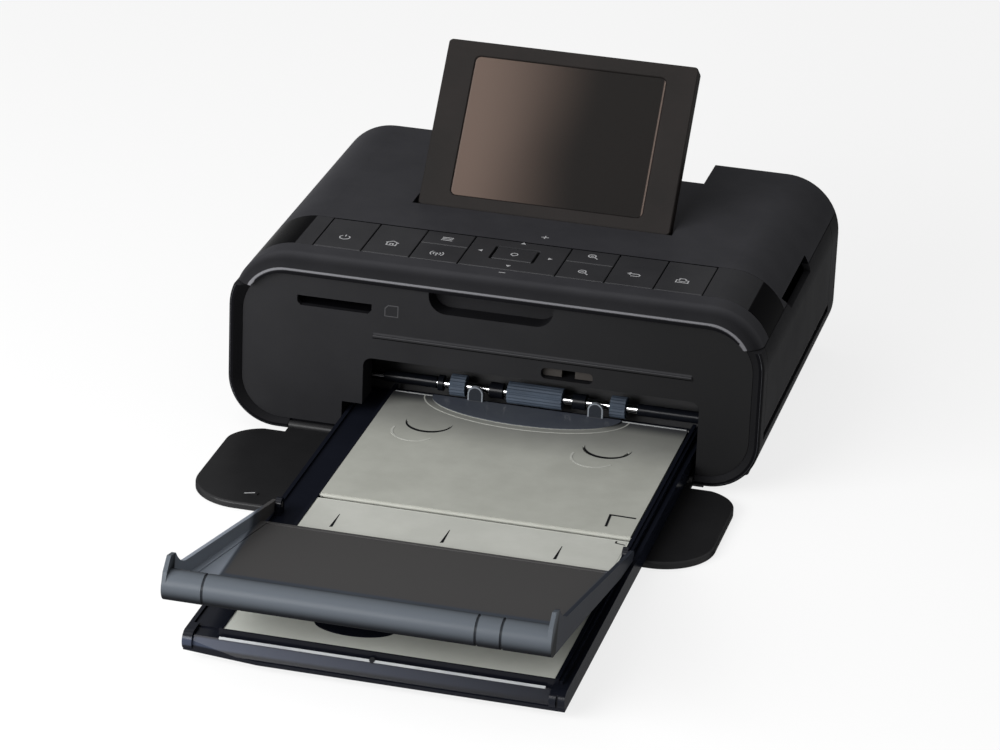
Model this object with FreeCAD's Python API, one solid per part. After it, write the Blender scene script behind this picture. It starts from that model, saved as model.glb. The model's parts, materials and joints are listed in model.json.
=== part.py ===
import FreeCAD, Part
import math
import os

# Compact photo printer with its paper cassette in place, its covers open and its display raised.
# Millimetres. X runs to the right, Y from the front to the rear, Z up.
# Sizes are measured from the printer's front rim, its middle plane and the table.
# The last step moves every piece so that the origin is the bottom centre of the whole object.

# Clearances
RUNNING = 0.05
FIT = 0.15
SEAM_GAP = 0.3
MOVE_GAP = 0.4
OVERRUN = 1.0

# Printer body
LEFT_BAY = 39.8
RIGHT_BAY = 23.0
BODY_DEPTH = 135.9
BODY_TOP = 63.3
FOOT_HEIGHT = 2.0
TOP_CORNER_RADIUS = 19.5
BOTTOM_CORNER_RADIUS = 17.0
WALL = 2.4
SEAM_HEIGHT = 51.4
LIP_RADIUS = 7.0
CASE_EDGE_RADIUS = 1.2
REAR_EDGE_RADIUS = 2.0

# Front face inside the rim
FACE_INSET = 4.0
FACE_TOP = 57.5
FACE_BOTTOM = 4.6
FACE_TOP_RADIUS = 15.5
FACE_BOTTOM_RADIUS = 14.0
FACE_DEPTH = 2.8
FACE_THICKNESS = 2.2
BEVEL_INSET = 1.6
RIM_DEPTH = 6.0

# Front opening for the cassette and the prints
OPENING_SHELF = 6.1
OPENING_SIDE = 1.9
OPENING_TOP = 30.3
OPENING_RADIUS = 3.0
OPENING_FOOT_SIDE = 0.9
OPENING_FOOT_TOP = 13.5
TUNNEL_REAR = 14.0
TUNNEL_WALL = 1.4
BAY_FLOOR = 0.9
BAY_DEPTH = 31.0

# Memory card slot, crease, finger recess and catch window in the front face
CARD_SLOT_INSET = 22.8
CARD_SLOT_WIDTH = 25.5
CARD_SLOT_BOTTOM = 46.0
CARD_SLOT_HEIGHT = 3.5
CARD_SLOT_CHAMFER = 1.2
CREASE_LEFT_INSET = 49.0
CREASE_RIGHT_INSET = 24.0
CREASE_HEIGHT = 38.3
CREASE_WIDTH = 1.2
CREASE_RISE = 0.6
GRIP_LEFT = -22.8
GRIP_RIGHT = 19.3
GRIP_BOTTOM = 49.3
GRIP_RADIUS = 6.0
GRIP_DEPTH = 7.0
GRIP_WALL = 1.2
CATCH_LEFT = 16.0
CATCH_WIDTH = 17.4
CATCH_BOTTOM = 31.5
CATCH_HEIGHT = 3.8
CATCH_RADIUS = 1.6
CATCH_SLOT_LEFT = 22.5
CATCH_SLOT_WIDTH = 4.5
CATCH_PLATE_DEPTH = 2.0
CATCH_MARGIN = 1.5

# Key strip
STRIP_FRONT = 13.6
STRIP_REAR = 40.0
STRIP_SKIN = 1.5
KEY_FIELD_INSET = 24.38
KEY_COLUMNS = 4
KEY_GAP = 0.4
KEY_THICKNESS = 1.6
KEY_TRAVEL = 0.4
KEY_EDGE_RADIUS = 0.3
KEY_FLOOR = 1.4
KEY_STEM_RADIUS = 1.6
KEY_SPLIT_Y = 28.5
OK_LEFT = -7.2
OK_WIDTH = 13.6
OK_FRONT = 22.9
OK_DEPTH = 10.1
OK_GAP = 0.9
PAD_PIVOT_RADIUS = 0.4
PAD_PIVOT_REACH = 1.2
PAD_NUB_RADIUS = 0.8
PAD_NUB_INSET = 1.4
PAD_NUB_SHIFT = 3.6
CARRIER_INSET = 3.48
CARRIER_HALF_DEPTH = 9.4
CARRIER_RAIL = 3.0
CARRIER_LUG_WIDTH = 2.4
CARRIER_LUG_DEPTH = 1.4
DOME_RADIUS = 2.6
DOME_HEIGHT = 0.6
KEY_BOARD_THICKNESS = 1.2
KEY_BOARD_MARGIN = 1.2
KEY_BOSS_RADIUS = 1.3
KEY_BOSS_INSET = 3.0

# Display
DISPLAY_WIDTH = 87.6
DISPLAY_HEIGHT = 60.0
DISPLAY_THICKNESS = 5.4
DISPLAY_FRAME_THICKNESS = 1.8
DISPLAY_CORNER = 1.5
DISPLAY_HINGE_Y = 66.86
DISPLAY_ANGLE = 53.0
DISPLAY_WINDOW_SIDE = 10.3
DISPLAY_WINDOW_HEAD = 5.1
DISPLAY_WINDOW_FOOT = 4.9
DISPLAY_WINDOW_RADIUS = 2.0
DISPLAY_WINDOW_DROP = 0.2
DISPLAY_SHELL = 1.2
PANEL_MARGIN = 2.0
PANEL_THICKNESS = 1.6
RECESS_SIDE = 1.4
RECESS_FRONT = 62.6
RECESS_FLOOR = 55.2
HINGE_PIN_RADIUS = 1.1
HINGE_PIN_DEPTH = 2.5

# Ribbon door in the right side
DOOR_FRONT = 6.6
DOOR_REAR = 122.0
DOOR_HINGE_Z = 22.0
DOOR_BARREL_RADIUS = 3.0
DOOR_THICKNESS = 2.2
DOOR_PIN_RADIUS = 0.8
DOOR_PIN_REACH = 3.0
NOTCH_FRONT = 42.0
NOTCH_REAR = 83.0
NOTCH_DEPTH = 5.4
NOTCH_SLANT = 6.5
NOTCH_POCKET = 5.0

# Feet and screws
FOOT_INSET = 6.3
FOOT_WIDTH = 21.0
FOOT_LENGTH = 11.0
FOOT_FRONT_Y = 17.5
FOOT_REAR_Y = 123.0
FOOT_RISE = 7.0
FOOT_CORNER = 2.0
SCREW_RADIUS = 1.4
SCREW_HEAD_RADIUS = 2.8
SCREW_HEAD_HEIGHT = 1.3
SCREW_RECESS = 0.4
SCREW_LENGTH = 2.6
SCREW_SLOT_WIDTH = 0.7
SCREW_SLOT_DEPTH = 0.6

# Front cover that lies open on the table
FLAP_SIDE = 4.3
FLAP_REAR = -3.0
FLAP_FRONT = -62.0
FLAP_BOTTOM = 0.4
FLAP_THICKNESS = 2.2
FLAP_RADIUS = 18.0
FLAP_CHAMFER = 0.8
FLAP_NECK_SIDE = 1.6
FLAP_NOTCH_CLEAR = 0.6
FLAP_AXIS_Y = 1.5
FLAP_AXIS_Z = 2.9
FLAP_BARREL_RADIUS = 1.6
FLAP_BARREL_GAP = 2.4
FLAP_EAR_WIDTH = 1.2
FLAP_PIN_RADIUS = 0.6
FLAP_PIN_REACH = 3.0
FLAP_HOOK_INSET = 25.3
FLAP_HOOK_Y = -55.0
FLAP_HOOK_WIDTH = 5.0
FLAP_HOOK_DEPTH = 1.4
FLAP_HOOK_RISE = 0.4

# Paper and cassette
PAPER_WIDTH = 100.0
PAPER_LENGTH = 174.0
PAPER_STACK = 4.6
LEFT_RAIL = 12.5
RIGHT_RAIL = 5.3
CASSETTE_NOSE = 23.55
CASSETTE_REAR = 28.0
CASSETTE_BOTTOM = 3.3
TRAY_FLOOR = 1.2
TRAY_WALL = 1.3
TRAY_OUTER_TOP = 9.5
TRAY_INNER_TOP = 11.2
TRAY_INNER_WALL = 1.2
TRAY_REAR_TOP = 9.4
TRAY_RAIL_WIDTH = 0.9
TRAY_RAIL_TOP = 10.6
TRAY_LEDGE_TOP = 8.8
TRAY_LEDGE_THICKNESS = 1.0
TRAY_SIDE_CLEAR = 0.8
FRONT_BAR_DEPTH = 10.5
FRONT_BAR_TOP = 8.4
FRONT_BAR_FOOT_SETBACK = 0.9
FRONT_BAR_BOW_SETBACK = 4.0
FRONT_BAR_BOW_REACH = 24.0
LEFT_NOSE_SETBACK = 2.6
FRONT_BAR_BROW_SETBACK = 4.7
FRONT_BAR_STEP = 6.0
LEFT_NOSE_WIDTH = 3.0
RIGHT_NOSE_WIDTH = 4.8
NOSE_GROOVE_INSET = 2.1
NOSE_GROOVE_WIDTH = 0.7
DECK_SETBACK = 6.6
DECK_THICKNESS = 0.9
DECK_TOP = 10.9
DECK_REAR = -67.0
COVER_TOP = 11.5
COVER_THICKNESS = 1.1
COVER_REAR = 21.6
COVER_HINGE_Y = -64.5
COVER_HINGE_Z = 10.7
COVER_BARREL_RADIUS = 0.6
COVER_PIN_RADIUS = 0.4
COVER_PIN_REACH = 0.9
COVER_SLIT_INNER = 7.2
COVER_SLIT_WIDTH = 0.7
COVER_SLIT_LEFT_INSET = 17.8
COVER_SLIT_RIGHT_INSET = 21.8
COVER_SLIT_YS = (-0.5, -1.5)
COVER_SLIT_SPREAD_SHARE = 0.1
FINGER_XS = (-10.2, 31.0)
FINGER_RADIUS = 2.6
FINGER_THICKNESS = 1.2
FINGER_TOP = 17.2
TAB_LEFT = -25.0
TAB_RIGHT = 40.0
TAB_DEPTH = 15.0
TAB_RISE = 0.35

# Output lid at the front of the cassette
LID_LEFT_INSET = 0.1
LID_RIGHT_INSET = 0.9
LID_HINGE_Y = -78.0
LID_HINGE_Z = 12.0
LID_ANGLE = 13.2
LID_LENGTH = 108.0
LID_PLATE_REAR_DROP = 2.4
LID_PLATE_FRONT_DROP = 4.2
LID_PLATE = 1.6
LID_PLATE_START = 16.0
LID_SIDE_WALL = 1.3
LID_ROLL_RADIUS = 4.7
LID_ROLL_WALL = 1.2
LID_ROLL_DROP = 3.7
LID_EAR_TIP = 5.0
LID_EAR_TIP_AHEAD = 1.2
LID_EAR_BROW_AHEAD = 4.1
LID_EAR_BROW_RISE = 0.6
LID_EAR_REACH = 15.0
LID_EAR_CURVE = 17.2
LID_SIDE_TOP = 0.6
LID_SIDE_START_RISE = 1.3
LID_SIDE_START_DROP = 2.1
LID_SIDE_FOOT_DROP = 6.2
LID_SIDE_FOOT_SHARE = 0.66
LID_WINDOW_MARGIN = 3.6
LID_WINDOW_REAR = 18.0
LID_WINDOW_FRONT = 11.0
LID_WINDOW_DEPTH = 0.3
LID_PIN_RADIUS = 0.9
LID_POST_WIDTH = 1.8
LID_POST_RADIUS = 2.2
LID_END_RADIUS = 1.3
LID_GROOVE_LEFT_INSET = 12.4
LID_GROOVE_RIGHT_INSETS = (22.4, 14.9)
LID_GROOVE_WIDTH = 0.8
LID_GROOVE_DEPTH = 0.3

# Drive train and shafts
GEAR_MODULE = 0.6
GEAR_WIDTH = 3.0
GEAR_LAYER_GAP = 1.0
FEED_TEETH = 30
PICKUP_TEETH = 24
REDUCTION_SMALL_TEETH = 16
REDUCTION_LARGE_TEETH = 48
PINION_TEETH = 12
REDUCTION_ANGLE = 30.0
TOOTH_ADDENDUM = 0.54
TOOTH_DEDENDUM = 0.78
TOOTH_TIP_SHARE = 0.42
TOOTH_PITCH_SHARE = 0.82
TOOTH_ROOT_SHARE = 1.2
PLATE_THICKNESS = 1.0
LEFT_PLATE_INSET = 15.3
RIGHT_PLATE_INSET = 17.3
PLATE_FRONT = 14.5
PLATE_REAR = 105.0
PLATE_CLEAR = 0.2
AXLE_RADIUS = 1.5
PLATE_FLANGE = 11.0
BUSH_RADIUS = 2.7
BUSH_FLANGE_RADIUS = 3.3
BUSH_FLANGE = 0.8
SHAFT_TAIL = 0.5
REAR_FRAME_LOW = 26.0
REAR_FRAME_MARGIN = 2.0
PLATE_WINDOW_MARGIN = 0.9
PLATE_FLANGE_REAR = 62.0
LEFT_FLANGE_FRONT = 42.0

# Pick-up roller
PICKUP_Y = 25.6
PICKUP_RADIUS = 3.7
PICKUP_PAPER_GAP = 2.0
PICKUP_SHAFT_RADIUS = 1.5
PICKUP_SLEEVE_RADIUS = 2.0
PICKUP_SLEEVE_LEFT_END = -24.6
PICKUP_SLEEVE_RIGHT_START = 44.5
PICKUP_ROLLERS = ((-19.7, 5.2), (0.0, 18.8), (35.3, 5.2))
PICKUP_COLLARS = ((-24.0, 1.8), (-6.2, 4.6), (22.4, 4.4))
PICKUP_COLLAR_RADIUS = 2.7
PICKUP_RIBS = 18
PICKUP_RIB_DEPTH = 0.5
PICKUP_RIB_TIP_SHARE = 0.7
PICKUP_RIB_ROOT_SHARE = 1.1

# Feed, pinch and platen rollers
FEED_RADIUS = 3.5
FEED_SHAFT_RADIUS = 2.0
FEED_Z = 17.3
ROLLER_LEFT_REACH = 8.0
ROLLER_RIGHT_REACH = 6.0
PINCH_RADIUS = 3.0
PINCH_SHAFT_RADIUS = 1.5
NIP_GAP = 0.25
PLATEN_Y = 58.0
PLATEN_RADIUS = 6.0
PLATEN_SHAFT_RADIUS = 2.0

# Paper guide behind the cassette
GUIDE_THICKNESS = 1.0
GUIDE_DROP = 0.25
GUIDE_FRONT = 31.6
GUIDE_FOOT_Z = 7.0
GUIDE_REAR = 128.0
GUIDE_WINDOW_CLEAR = 0.8
GUIDE_STRIP = 2.7
GUIDE_LEG = 1.5
GUIDE_LEG_FRONT = 70.0
GUIDE_LEG_REAR = 100.0
EXIT_SLOT_HEIGHT = 5.0

# Thermal head and its arm
HEAD_GAP = 0.35
HEAD_REACH = 4.0
HEAD_BAR_THICKNESS = 1.2
HEAD_BAR_FRONT = 54.0
HEAD_BAR_LENGTH = 12.0
SINK_HEIGHT = 12.0
SINK_LENGTH = 10.0
SINK_SLOTS = 3
SINK_SLOT_WIDTH = 1.4
SINK_SLOT_DEPTH = 7.0
ARM_THICKNESS = 1.2
ARM_TOP_HEIGHT = 46.2
ARM_AXIS_Y = 76.0
ARM_AXIS_Z = 47.4
ARM_SHAFT_RADIUS = 1.5
ARM_BARREL_RADIUS = 2.8
ARM_FRONT = 56.0

# Ribbon cassette
SUPPLY_Y = 88.0
SUPPLY_Z = 33.0
SUPPLY_HOUSING_RADIUS = 11.0
SUPPLY_ROLL_RADIUS = 8.0
TAKEUP_Y = 44.0
TAKEUP_Z = 37.0
TAKEUP_HOUSING_RADIUS = 8.3
TAKEUP_ROLL_RADIUS = 4.6
SPOOL_CORE_RADIUS = 3.4
SPOOL_BORE_RADIUS = 1.5
FILM_LEAD = 2.6
HOUSING_WALL = 1.0
RIBBON_LEFT_REACH = 12.0
RIBBON_PLATE_GAP = 2.0
RIBBON_END_WALL = 1.6
RIBBON_FILM = 0.12
RIBBON_FILM_MARGIN = 5.0
RIBBON_FILM_CLEAR = 0.15
RIBBON_HANDLE_THICKNESS = 2.0
RIBBON_HANDLE_WIDTH = 14.0
RIBBON_HANDLE_REACH = 9.0
RIBBON_BRIDGE_LOW = 34.0
RIBBON_BRIDGE_HIGH = 42.0
RIBBON_SLOT = 7.0

# Motor
MOTOR_RADIUS = 11.0
MOTOR_LENGTH = 16.0
MOTOR_SHAFT_RADIUS = 1.0
MOTOR_BOSS_RADIUS = 3.0
MOTOR_BOSS = 0.8

# Boards, connectors and fan
MAIN_BOARD_FRONT = 13.0
MAIN_BOARD_REAR = 58.0
MAIN_BOARD_Z = 51.3
BOARD_THICKNESS = 1.4
CARD_READER_DEPTH = 31.0
CARD_READER_MARGIN = 1.5
CARD_READER_WALL = 0.5
CHIP_HEIGHT = 1.6
CHIPS = ((-30.0, 30.0, 14.0), (0.0, 34.0, 10.0), (24.0, 26.0, 12.0), (50.0, 44.0, 16.0))
POWER_BOARD_FRONT = 107.0
POWER_BOARD_REAR = 131.0
POWER_BOARD_FAN_GAP = 20.2
POWER_BOARD_INSET = 8.3
POWER_BOARD_Z = 39.2
JACK_INSET = 16.3
JACK_WIDTH = 9.0
JACK_HEIGHT = 9.0
JACK_LENGTH = 12.0
JACK_BORE_RADIUS = 2.9
JACK_PIN_RADIUS = 0.8
JACK_FACE_INSET = 0.6
JACK_NOSE_RADIUS = 4.2
COIL_RADIUS = 4.5
COIL_HEIGHT = 7.0
COIL_FIRST = 12.0
COIL_PITCH = 20.0
COIL_COUNT = 4
USB_BOARD_THICKNESS = 1.2
USB_Y = 94.0
USB_Z = 31.0
USB_A_WIDTH = 13.2
USB_A_HEIGHT = 5.7
USB_B_WIDTH = 7.6
USB_B_HEIGHT = 3.4
USB_DEPTH = 11.0
USB_SPACING = 14.0
USB_SHELL = 0.5
USB_FACE_INSET = 0.5
USB_TONGUE = 1.2
USB_SPACER = 2.4
FAN_SIZE = 30.0
FAN_DEPTH = 9.0
FAN_INSET = 25.1
FAN_Z = 26.0
FAN_HUB_RADIUS = 6.5
FAN_RIM_RADIUS = 13.6
FAN_BLADES = 7
FAN_BLADE_THICKNESS = 1.0
FAN_BLADE_GAP = 0.5
FAN_STRUT_WIDTH = 2.0
FAN_BACK = 1.2
FAN_HUB_GAP = 0.4
FAN_PIN_RADIUS = 1.0
FAN_TWIST = 35.0
VENT_COUNT = 8
VENT_HEIGHT = 2.0
VENT_PITCH = 3.6

# Values worked out from the sizes above
CASSETTE_WIDTH = PAPER_WIDTH + LEFT_RAIL + RIGHT_RAIL
BODY_WIDTH = CASSETTE_WIDTH + LEFT_BAY + RIGHT_BAY
HALF_WIDTH = BODY_WIDTH / 2
FACE_HALF = HALF_WIDTH - FACE_INSET
FACE_REAR = FACE_DEPTH + FACE_THICKNESS
FLOOR_TOP = FOOT_HEIGHT + WALL
REAR_WALL_Y = BODY_DEPTH - WALL
CASSETTE_LEFT = -HALF_WIDTH + LEFT_BAY
CASSETTE_RIGHT = HALF_WIDTH - RIGHT_BAY
PAPER_LEFT = CASSETTE_LEFT + LEFT_RAIL
PAPER_RIGHT = CASSETTE_RIGHT - RIGHT_RAIL
OPENING_LEFT = CASSETTE_LEFT + OPENING_SHELF
OPENING_RIGHT = CASSETTE_RIGHT + OPENING_SIDE
OPENING_FOOT_LEFT = CASSETTE_LEFT - OPENING_FOOT_SIDE
CARD_SLOT_LEFT = -HALF_WIDTH + CARD_SLOT_INSET
LEFT_PLATE_X = -HALF_WIDTH + LEFT_PLATE_INSET
RIGHT_PLATE_X = HALF_WIDTH - RIGHT_PLATE_INSET
ROLLER_LEFT = PAPER_LEFT - ROLLER_LEFT_REACH
ROLLER_RIGHT = PAPER_RIGHT + ROLLER_RIGHT_REACH
HEAD_LEFT = PAPER_LEFT - HEAD_REACH
HEAD_RIGHT = PAPER_RIGHT + HEAD_REACH
RIBBON_LEFT = PAPER_LEFT - RIBBON_LEFT_REACH
RIBBON_RIGHT = RIGHT_PLATE_X - RIBBON_PLATE_GAP
LID_LEFT = CASSETTE_LEFT + LID_LEFT_INSET
LID_RIGHT = CASSETTE_RIGHT - LID_RIGHT_INSET
FLAP_HALF_WIDTH = HALF_WIDTH - FLAP_SIDE
FLAP_NECK_HALF = CASSETTE_RIGHT + FLAP_NECK_SIDE
FLAP_BARREL_LENGTH = CASSETTE_LEFT - FLAP_BARREL_GAP + FLAP_NECK_HALF
FAN_X = -HALF_WIDTH + FAN_INSET
JACK_X = HALF_WIDTH - JACK_INSET
POWER_BOARD_LEFT = FAN_X + FAN_SIZE / 2 + POWER_BOARD_FAN_GAP
POWER_BOARD_RIGHT = HALF_WIDTH - POWER_BOARD_INSET
RECESS_HALF_WIDTH = DISPLAY_WIDTH / 2 + RECESS_SIDE
DISPLAY_WINDOW_WIDTH = DISPLAY_WIDTH - 2 * DISPLAY_WINDOW_SIDE
DISPLAY_WINDOW_HEIGHT = DISPLAY_HEIGHT - DISPLAY_WINDOW_FOOT - DISPLAY_WINDOW_HEAD
PAPER_BOTTOM = CASSETTE_BOTTOM + TRAY_FLOOR
PAPER_TOP = PAPER_BOTTOM + PAPER_STACK
PAPER_REAR = CASSETTE_REAR - TRAY_WALL - FIT
PAPER_FRONT = PAPER_REAR - PAPER_LENGTH
CASSETTE_FRONT = PAPER_FRONT - CASSETTE_NOSE
INNER_LEFT = PAPER_LEFT - TRAY_SIDE_CLEAR
INNER_RIGHT = PAPER_RIGHT + TRAY_SIDE_CLEAR
KEY_TOP = BODY_TOP
KEY_BOTTOM = KEY_TOP - KEY_THICKNESS
KEY_FLOOR_TOP = KEY_BOTTOM - KEY_TRAVEL - FIT
KEY_FLOOR_BOTTOM = KEY_FLOOR_TOP - KEY_FLOOR
KEY_BOARD_TOP = KEY_FLOOR_BOTTOM - MOVE_GAP - DOME_HEIGHT - KEY_TRAVEL
KEY_FIELD_HALF = HALF_WIDTH - KEY_FIELD_INSET
KEY_PITCH = KEY_FIELD_HALF / KEY_COLUMNS
DISPLAY_HINGE_Z = BODY_TOP - DISPLAY_THICKNESS / 2
PICKUP_Z = PAPER_TOP + PICKUP_PAPER_GAP + PICKUP_RADIUS
PAPER_PATH_Z = FEED_Z + FEED_RADIUS
PINCH_Z = PAPER_PATH_Z + NIP_GAP + PINCH_RADIUS
PLATEN_Z = PAPER_PATH_Z - PLATEN_RADIUS
SMALL_LAYER_X = LEFT_PLATE_X - GEAR_LAYER_GAP - GEAR_WIDTH
LARGE_LAYER_X = SMALL_LAYER_X - GEAR_LAYER_GAP - GEAR_WIDTH
DEGREES = math.pi / 180
ALONG_SHARE = 0.999


def pitch_radius(teeth):
    """Pitch radius of a gear of the drive train."""
    return GEAR_MODULE * teeth / 2


FEED_PICKUP_DISTANCE = pitch_radius(FEED_TEETH) + pitch_radius(PICKUP_TEETH)
FEED_Y = PICKUP_Y + math.sqrt(FEED_PICKUP_DISTANCE ** 2 - (FEED_Z - PICKUP_Z) ** 2)
REDUCTION_DISTANCE = pitch_radius(FEED_TEETH) + pitch_radius(REDUCTION_SMALL_TEETH)
REDUCTION_Y = FEED_Y + REDUCTION_DISTANCE * math.cos(REDUCTION_ANGLE * DEGREES)
REDUCTION_Z = FEED_Z + REDUCTION_DISTANCE * math.sin(REDUCTION_ANGLE * DEGREES)
MOTOR_Y = REDUCTION_Y + pitch_radius(REDUCTION_LARGE_TEETH) + pitch_radius(PINION_TEETH)
MOTOR_Z = REDUCTION_Z
LID_ROLL_Y = (LID_HINGE_Y - LID_LENGTH * math.cos(LID_ANGLE * DEGREES)
              - LID_ROLL_DROP * math.sin(LID_ANGLE * DEGREES))
WHOLE_FRONT = min(LID_ROLL_Y - LID_ROLL_RADIUS, CASSETTE_FRONT)
ORIGIN_Y = (WHOLE_FRONT + BODY_DEPTH) / 2


def vec(x, y, z):
    """Short form of a FreeCAD vector."""
    return FreeCAD.Vector(x, y, z)


def block(x0, x1, y0, y1, z0, z1):
    """Box between two corners."""
    return Part.makeBox(x1 - x0, y1 - y0, z1 - z0, vec(x0, y0, z0))


def rod_x(x0, x1, y, z, radius):
    """Cylinder along X."""
    return Part.makeCylinder(radius, x1 - x0, vec(x0, y, z), vec(1, 0, 0))


def rod_y(y0, y1, x, z, radius):
    """Cylinder along Y."""
    return Part.makeCylinder(radius, y1 - y0, vec(x, y0, z), vec(0, 1, 0))


def rod_z(z0, z1, x, y, radius):
    """Cylinder along Z."""
    return Part.makeCylinder(radius, z1 - z0, vec(x, y, z0), vec(0, 0, 1))


def tube_x(x0, x1, y, z, outer, inner):
    """Tube along X."""
    return rod_x(x0, x1, y, z, outer).cut(rod_x(x0 - OVERRUN, x1 + OVERRUN, y, z, inner))


def prism_x(points, x0, x1):
    """Outline of (y, z) points, extruded along X."""
    corners = [vec(x0, y, z) for y, z in points]
    wire = Part.makePolygon(corners + corners[:1])
    return Part.Face(wire).extrude(vec(x1 - x0, 0, 0))


def prism_y(points, y0, y1):
    """Outline of (x, z) points, extruded along Y."""
    corners = [vec(x, y0, z) for x, z in points]
    wire = Part.makePolygon(corners + corners[:1])
    return Part.Face(wire).extrude(vec(0, y1 - y0, 0))


def prism_z(points, z0, z1):
    """Outline of (x, y) points, extruded along Z."""
    corners = [vec(x, y, z0) for x, y in points]
    wire = Part.makePolygon(corners + corners[:1])
    return Part.Face(wire).extrude(vec(0, 0, z1 - z0))


def corner_arc(centre_x, centre_z, radius, start, y):
    """Quarter circle in a plane of constant Y, from the start angle in degrees."""
    angles = [start, start + 45, start + 90]
    places = [vec(centre_x + radius * math.cos(a * DEGREES), y, centre_z + radius * math.sin(a * DEGREES))
              for a in angles]
    return Part.Arc(*places).toShape()


def outline_wire(half, low, high, low_radius, high_radius, y):
    """Rounded outline across the printer, in a plane of constant Y."""
    inner_low = half - low_radius
    inner_high = half - high_radius
    edges = [
        Part.makeLine(vec(-inner_low, y, low), vec(inner_low, y, low)),
        corner_arc(inner_low, low + low_radius, low_radius, -90, y),
        Part.makeLine(vec(half, y, low + low_radius), vec(half, y, high - high_radius)),
        corner_arc(inner_high, high - high_radius, high_radius, 0, y),
        Part.makeLine(vec(inner_high, y, high), vec(-inner_high, y, high)),
        corner_arc(-inner_high, high - high_radius, high_radius, 90, y),
        Part.makeLine(vec(-half, y, high - high_radius), vec(-half, y, low + low_radius)),
        corner_arc(-inner_low, low + low_radius, low_radius, 180, y),
    ]
    return Part.Wire(edges)


def body_wire(inset, y):
    """The body's outer outline, drawn in by an inset."""
    return outline_wire(HALF_WIDTH - inset, FOOT_HEIGHT + inset, BODY_TOP - inset,
                        BOTTOM_CORNER_RADIUS - inset, TOP_CORNER_RADIUS - inset, y)


def body_block(inset, y0, y1):
    """The body's outline, drawn in by an inset and extruded along Y."""
    return Part.Face(body_wire(inset, y0)).extrude(vec(0, y1 - y0, 0))


def face_wire(shrink, y):
    """Outline of the front face inside the rim."""
    return outline_wire(FACE_HALF - shrink, FACE_BOTTOM + shrink, FACE_TOP - shrink,
                        FACE_BOTTOM_RADIUS - shrink, FACE_TOP_RADIUS - shrink, y)


def face_block(shrink, y0, y1):
    """The front face's outline, extruded along Y."""
    return Part.Face(face_wire(shrink, y0)).extrude(vec(0, y1 - y0, 0))


def fuse_all(shapes):
    """One solid from several that overlap or touch."""
    joined = shapes[0]
    if len(shapes) > 1:
        joined = joined.multiFuse(shapes[1:])
    return joined.removeSplitter()


def cut_all(shape, tools):
    """A solid with several others taken out."""
    for tool in tools:
        shape = shape.cut(tool)
    return shape


def fillet_where(shape, radius, chosen):
    """Fillet the edges that a test picks."""
    edges = [edge for edge in shape.Edges if chosen(edge)]
    return shape.makeFillet(radius, edges)


def chamfer_where(shape, size, chosen):
    """Chamfer the edges that a test picks."""
    edges = [edge for edge in shape.Edges if chosen(edge)]
    return shape.makeChamfer(size, edges)


def runs_along(edge, axis):
    """True for a straight edge along an axis."""
    straight = isinstance(edge.Curve, Part.Line)
    return straight and abs(getattr(edge.tangentAt(edge.FirstParameter), axis)) > ALONG_SHARE


def rounded_block(x0, x1, y0, y1, z0, z1, radius, axis):
    """Box with the edges along one axis rounded."""
    return fillet_where(block(x0, x1, y0, y1, z0, z1), radius, lambda e: runs_along(e, axis))


def lies_at(edge, axis, value):
    """True for an edge that lies wholly in a plane square to an axis."""
    box = edge.BoundBox
    low = getattr(box, axis + "Min")
    high = getattr(box, axis + "Max")
    return abs(low - value) < RUNNING and abs(high - value) < RUNNING


def save(node, shapes):
    """Move the solids of a node into the object's frame and write them."""
    solids = [solid for shape in shapes for solid in shape.Solids]
    shape = Part.makeCompound(solids) if len(solids) > 1 else solids[0].copy()
    shape.translate(vec(0, -ORIGIN_Y, 0))
    shape.exportStep("parts/" + node + ".step")


# Body shell

def side_band(z0, z1):
    """Slab across the whole body between two heights."""
    return block(-BODY_WIDTH, BODY_WIDTH, -BODY_DEPTH, 2 * BODY_DEPTH, z0, z1)


def notch_block():
    """Finger notch at the seam on the right, slanted at its front end."""
    top = SEAM_HEIGHT + SEAM_GAP / 2 + NOTCH_DEPTH / 2
    low = SEAM_HEIGHT - NOTCH_DEPTH / 2
    points = [(NOTCH_FRONT, top), (NOTCH_REAR, top), (NOTCH_REAR, low), (NOTCH_FRONT + NOTCH_SLANT, low)]
    return prism_x(points, HALF_WIDTH - NOTCH_POCKET, HALF_WIDTH + OVERRUN)


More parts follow.
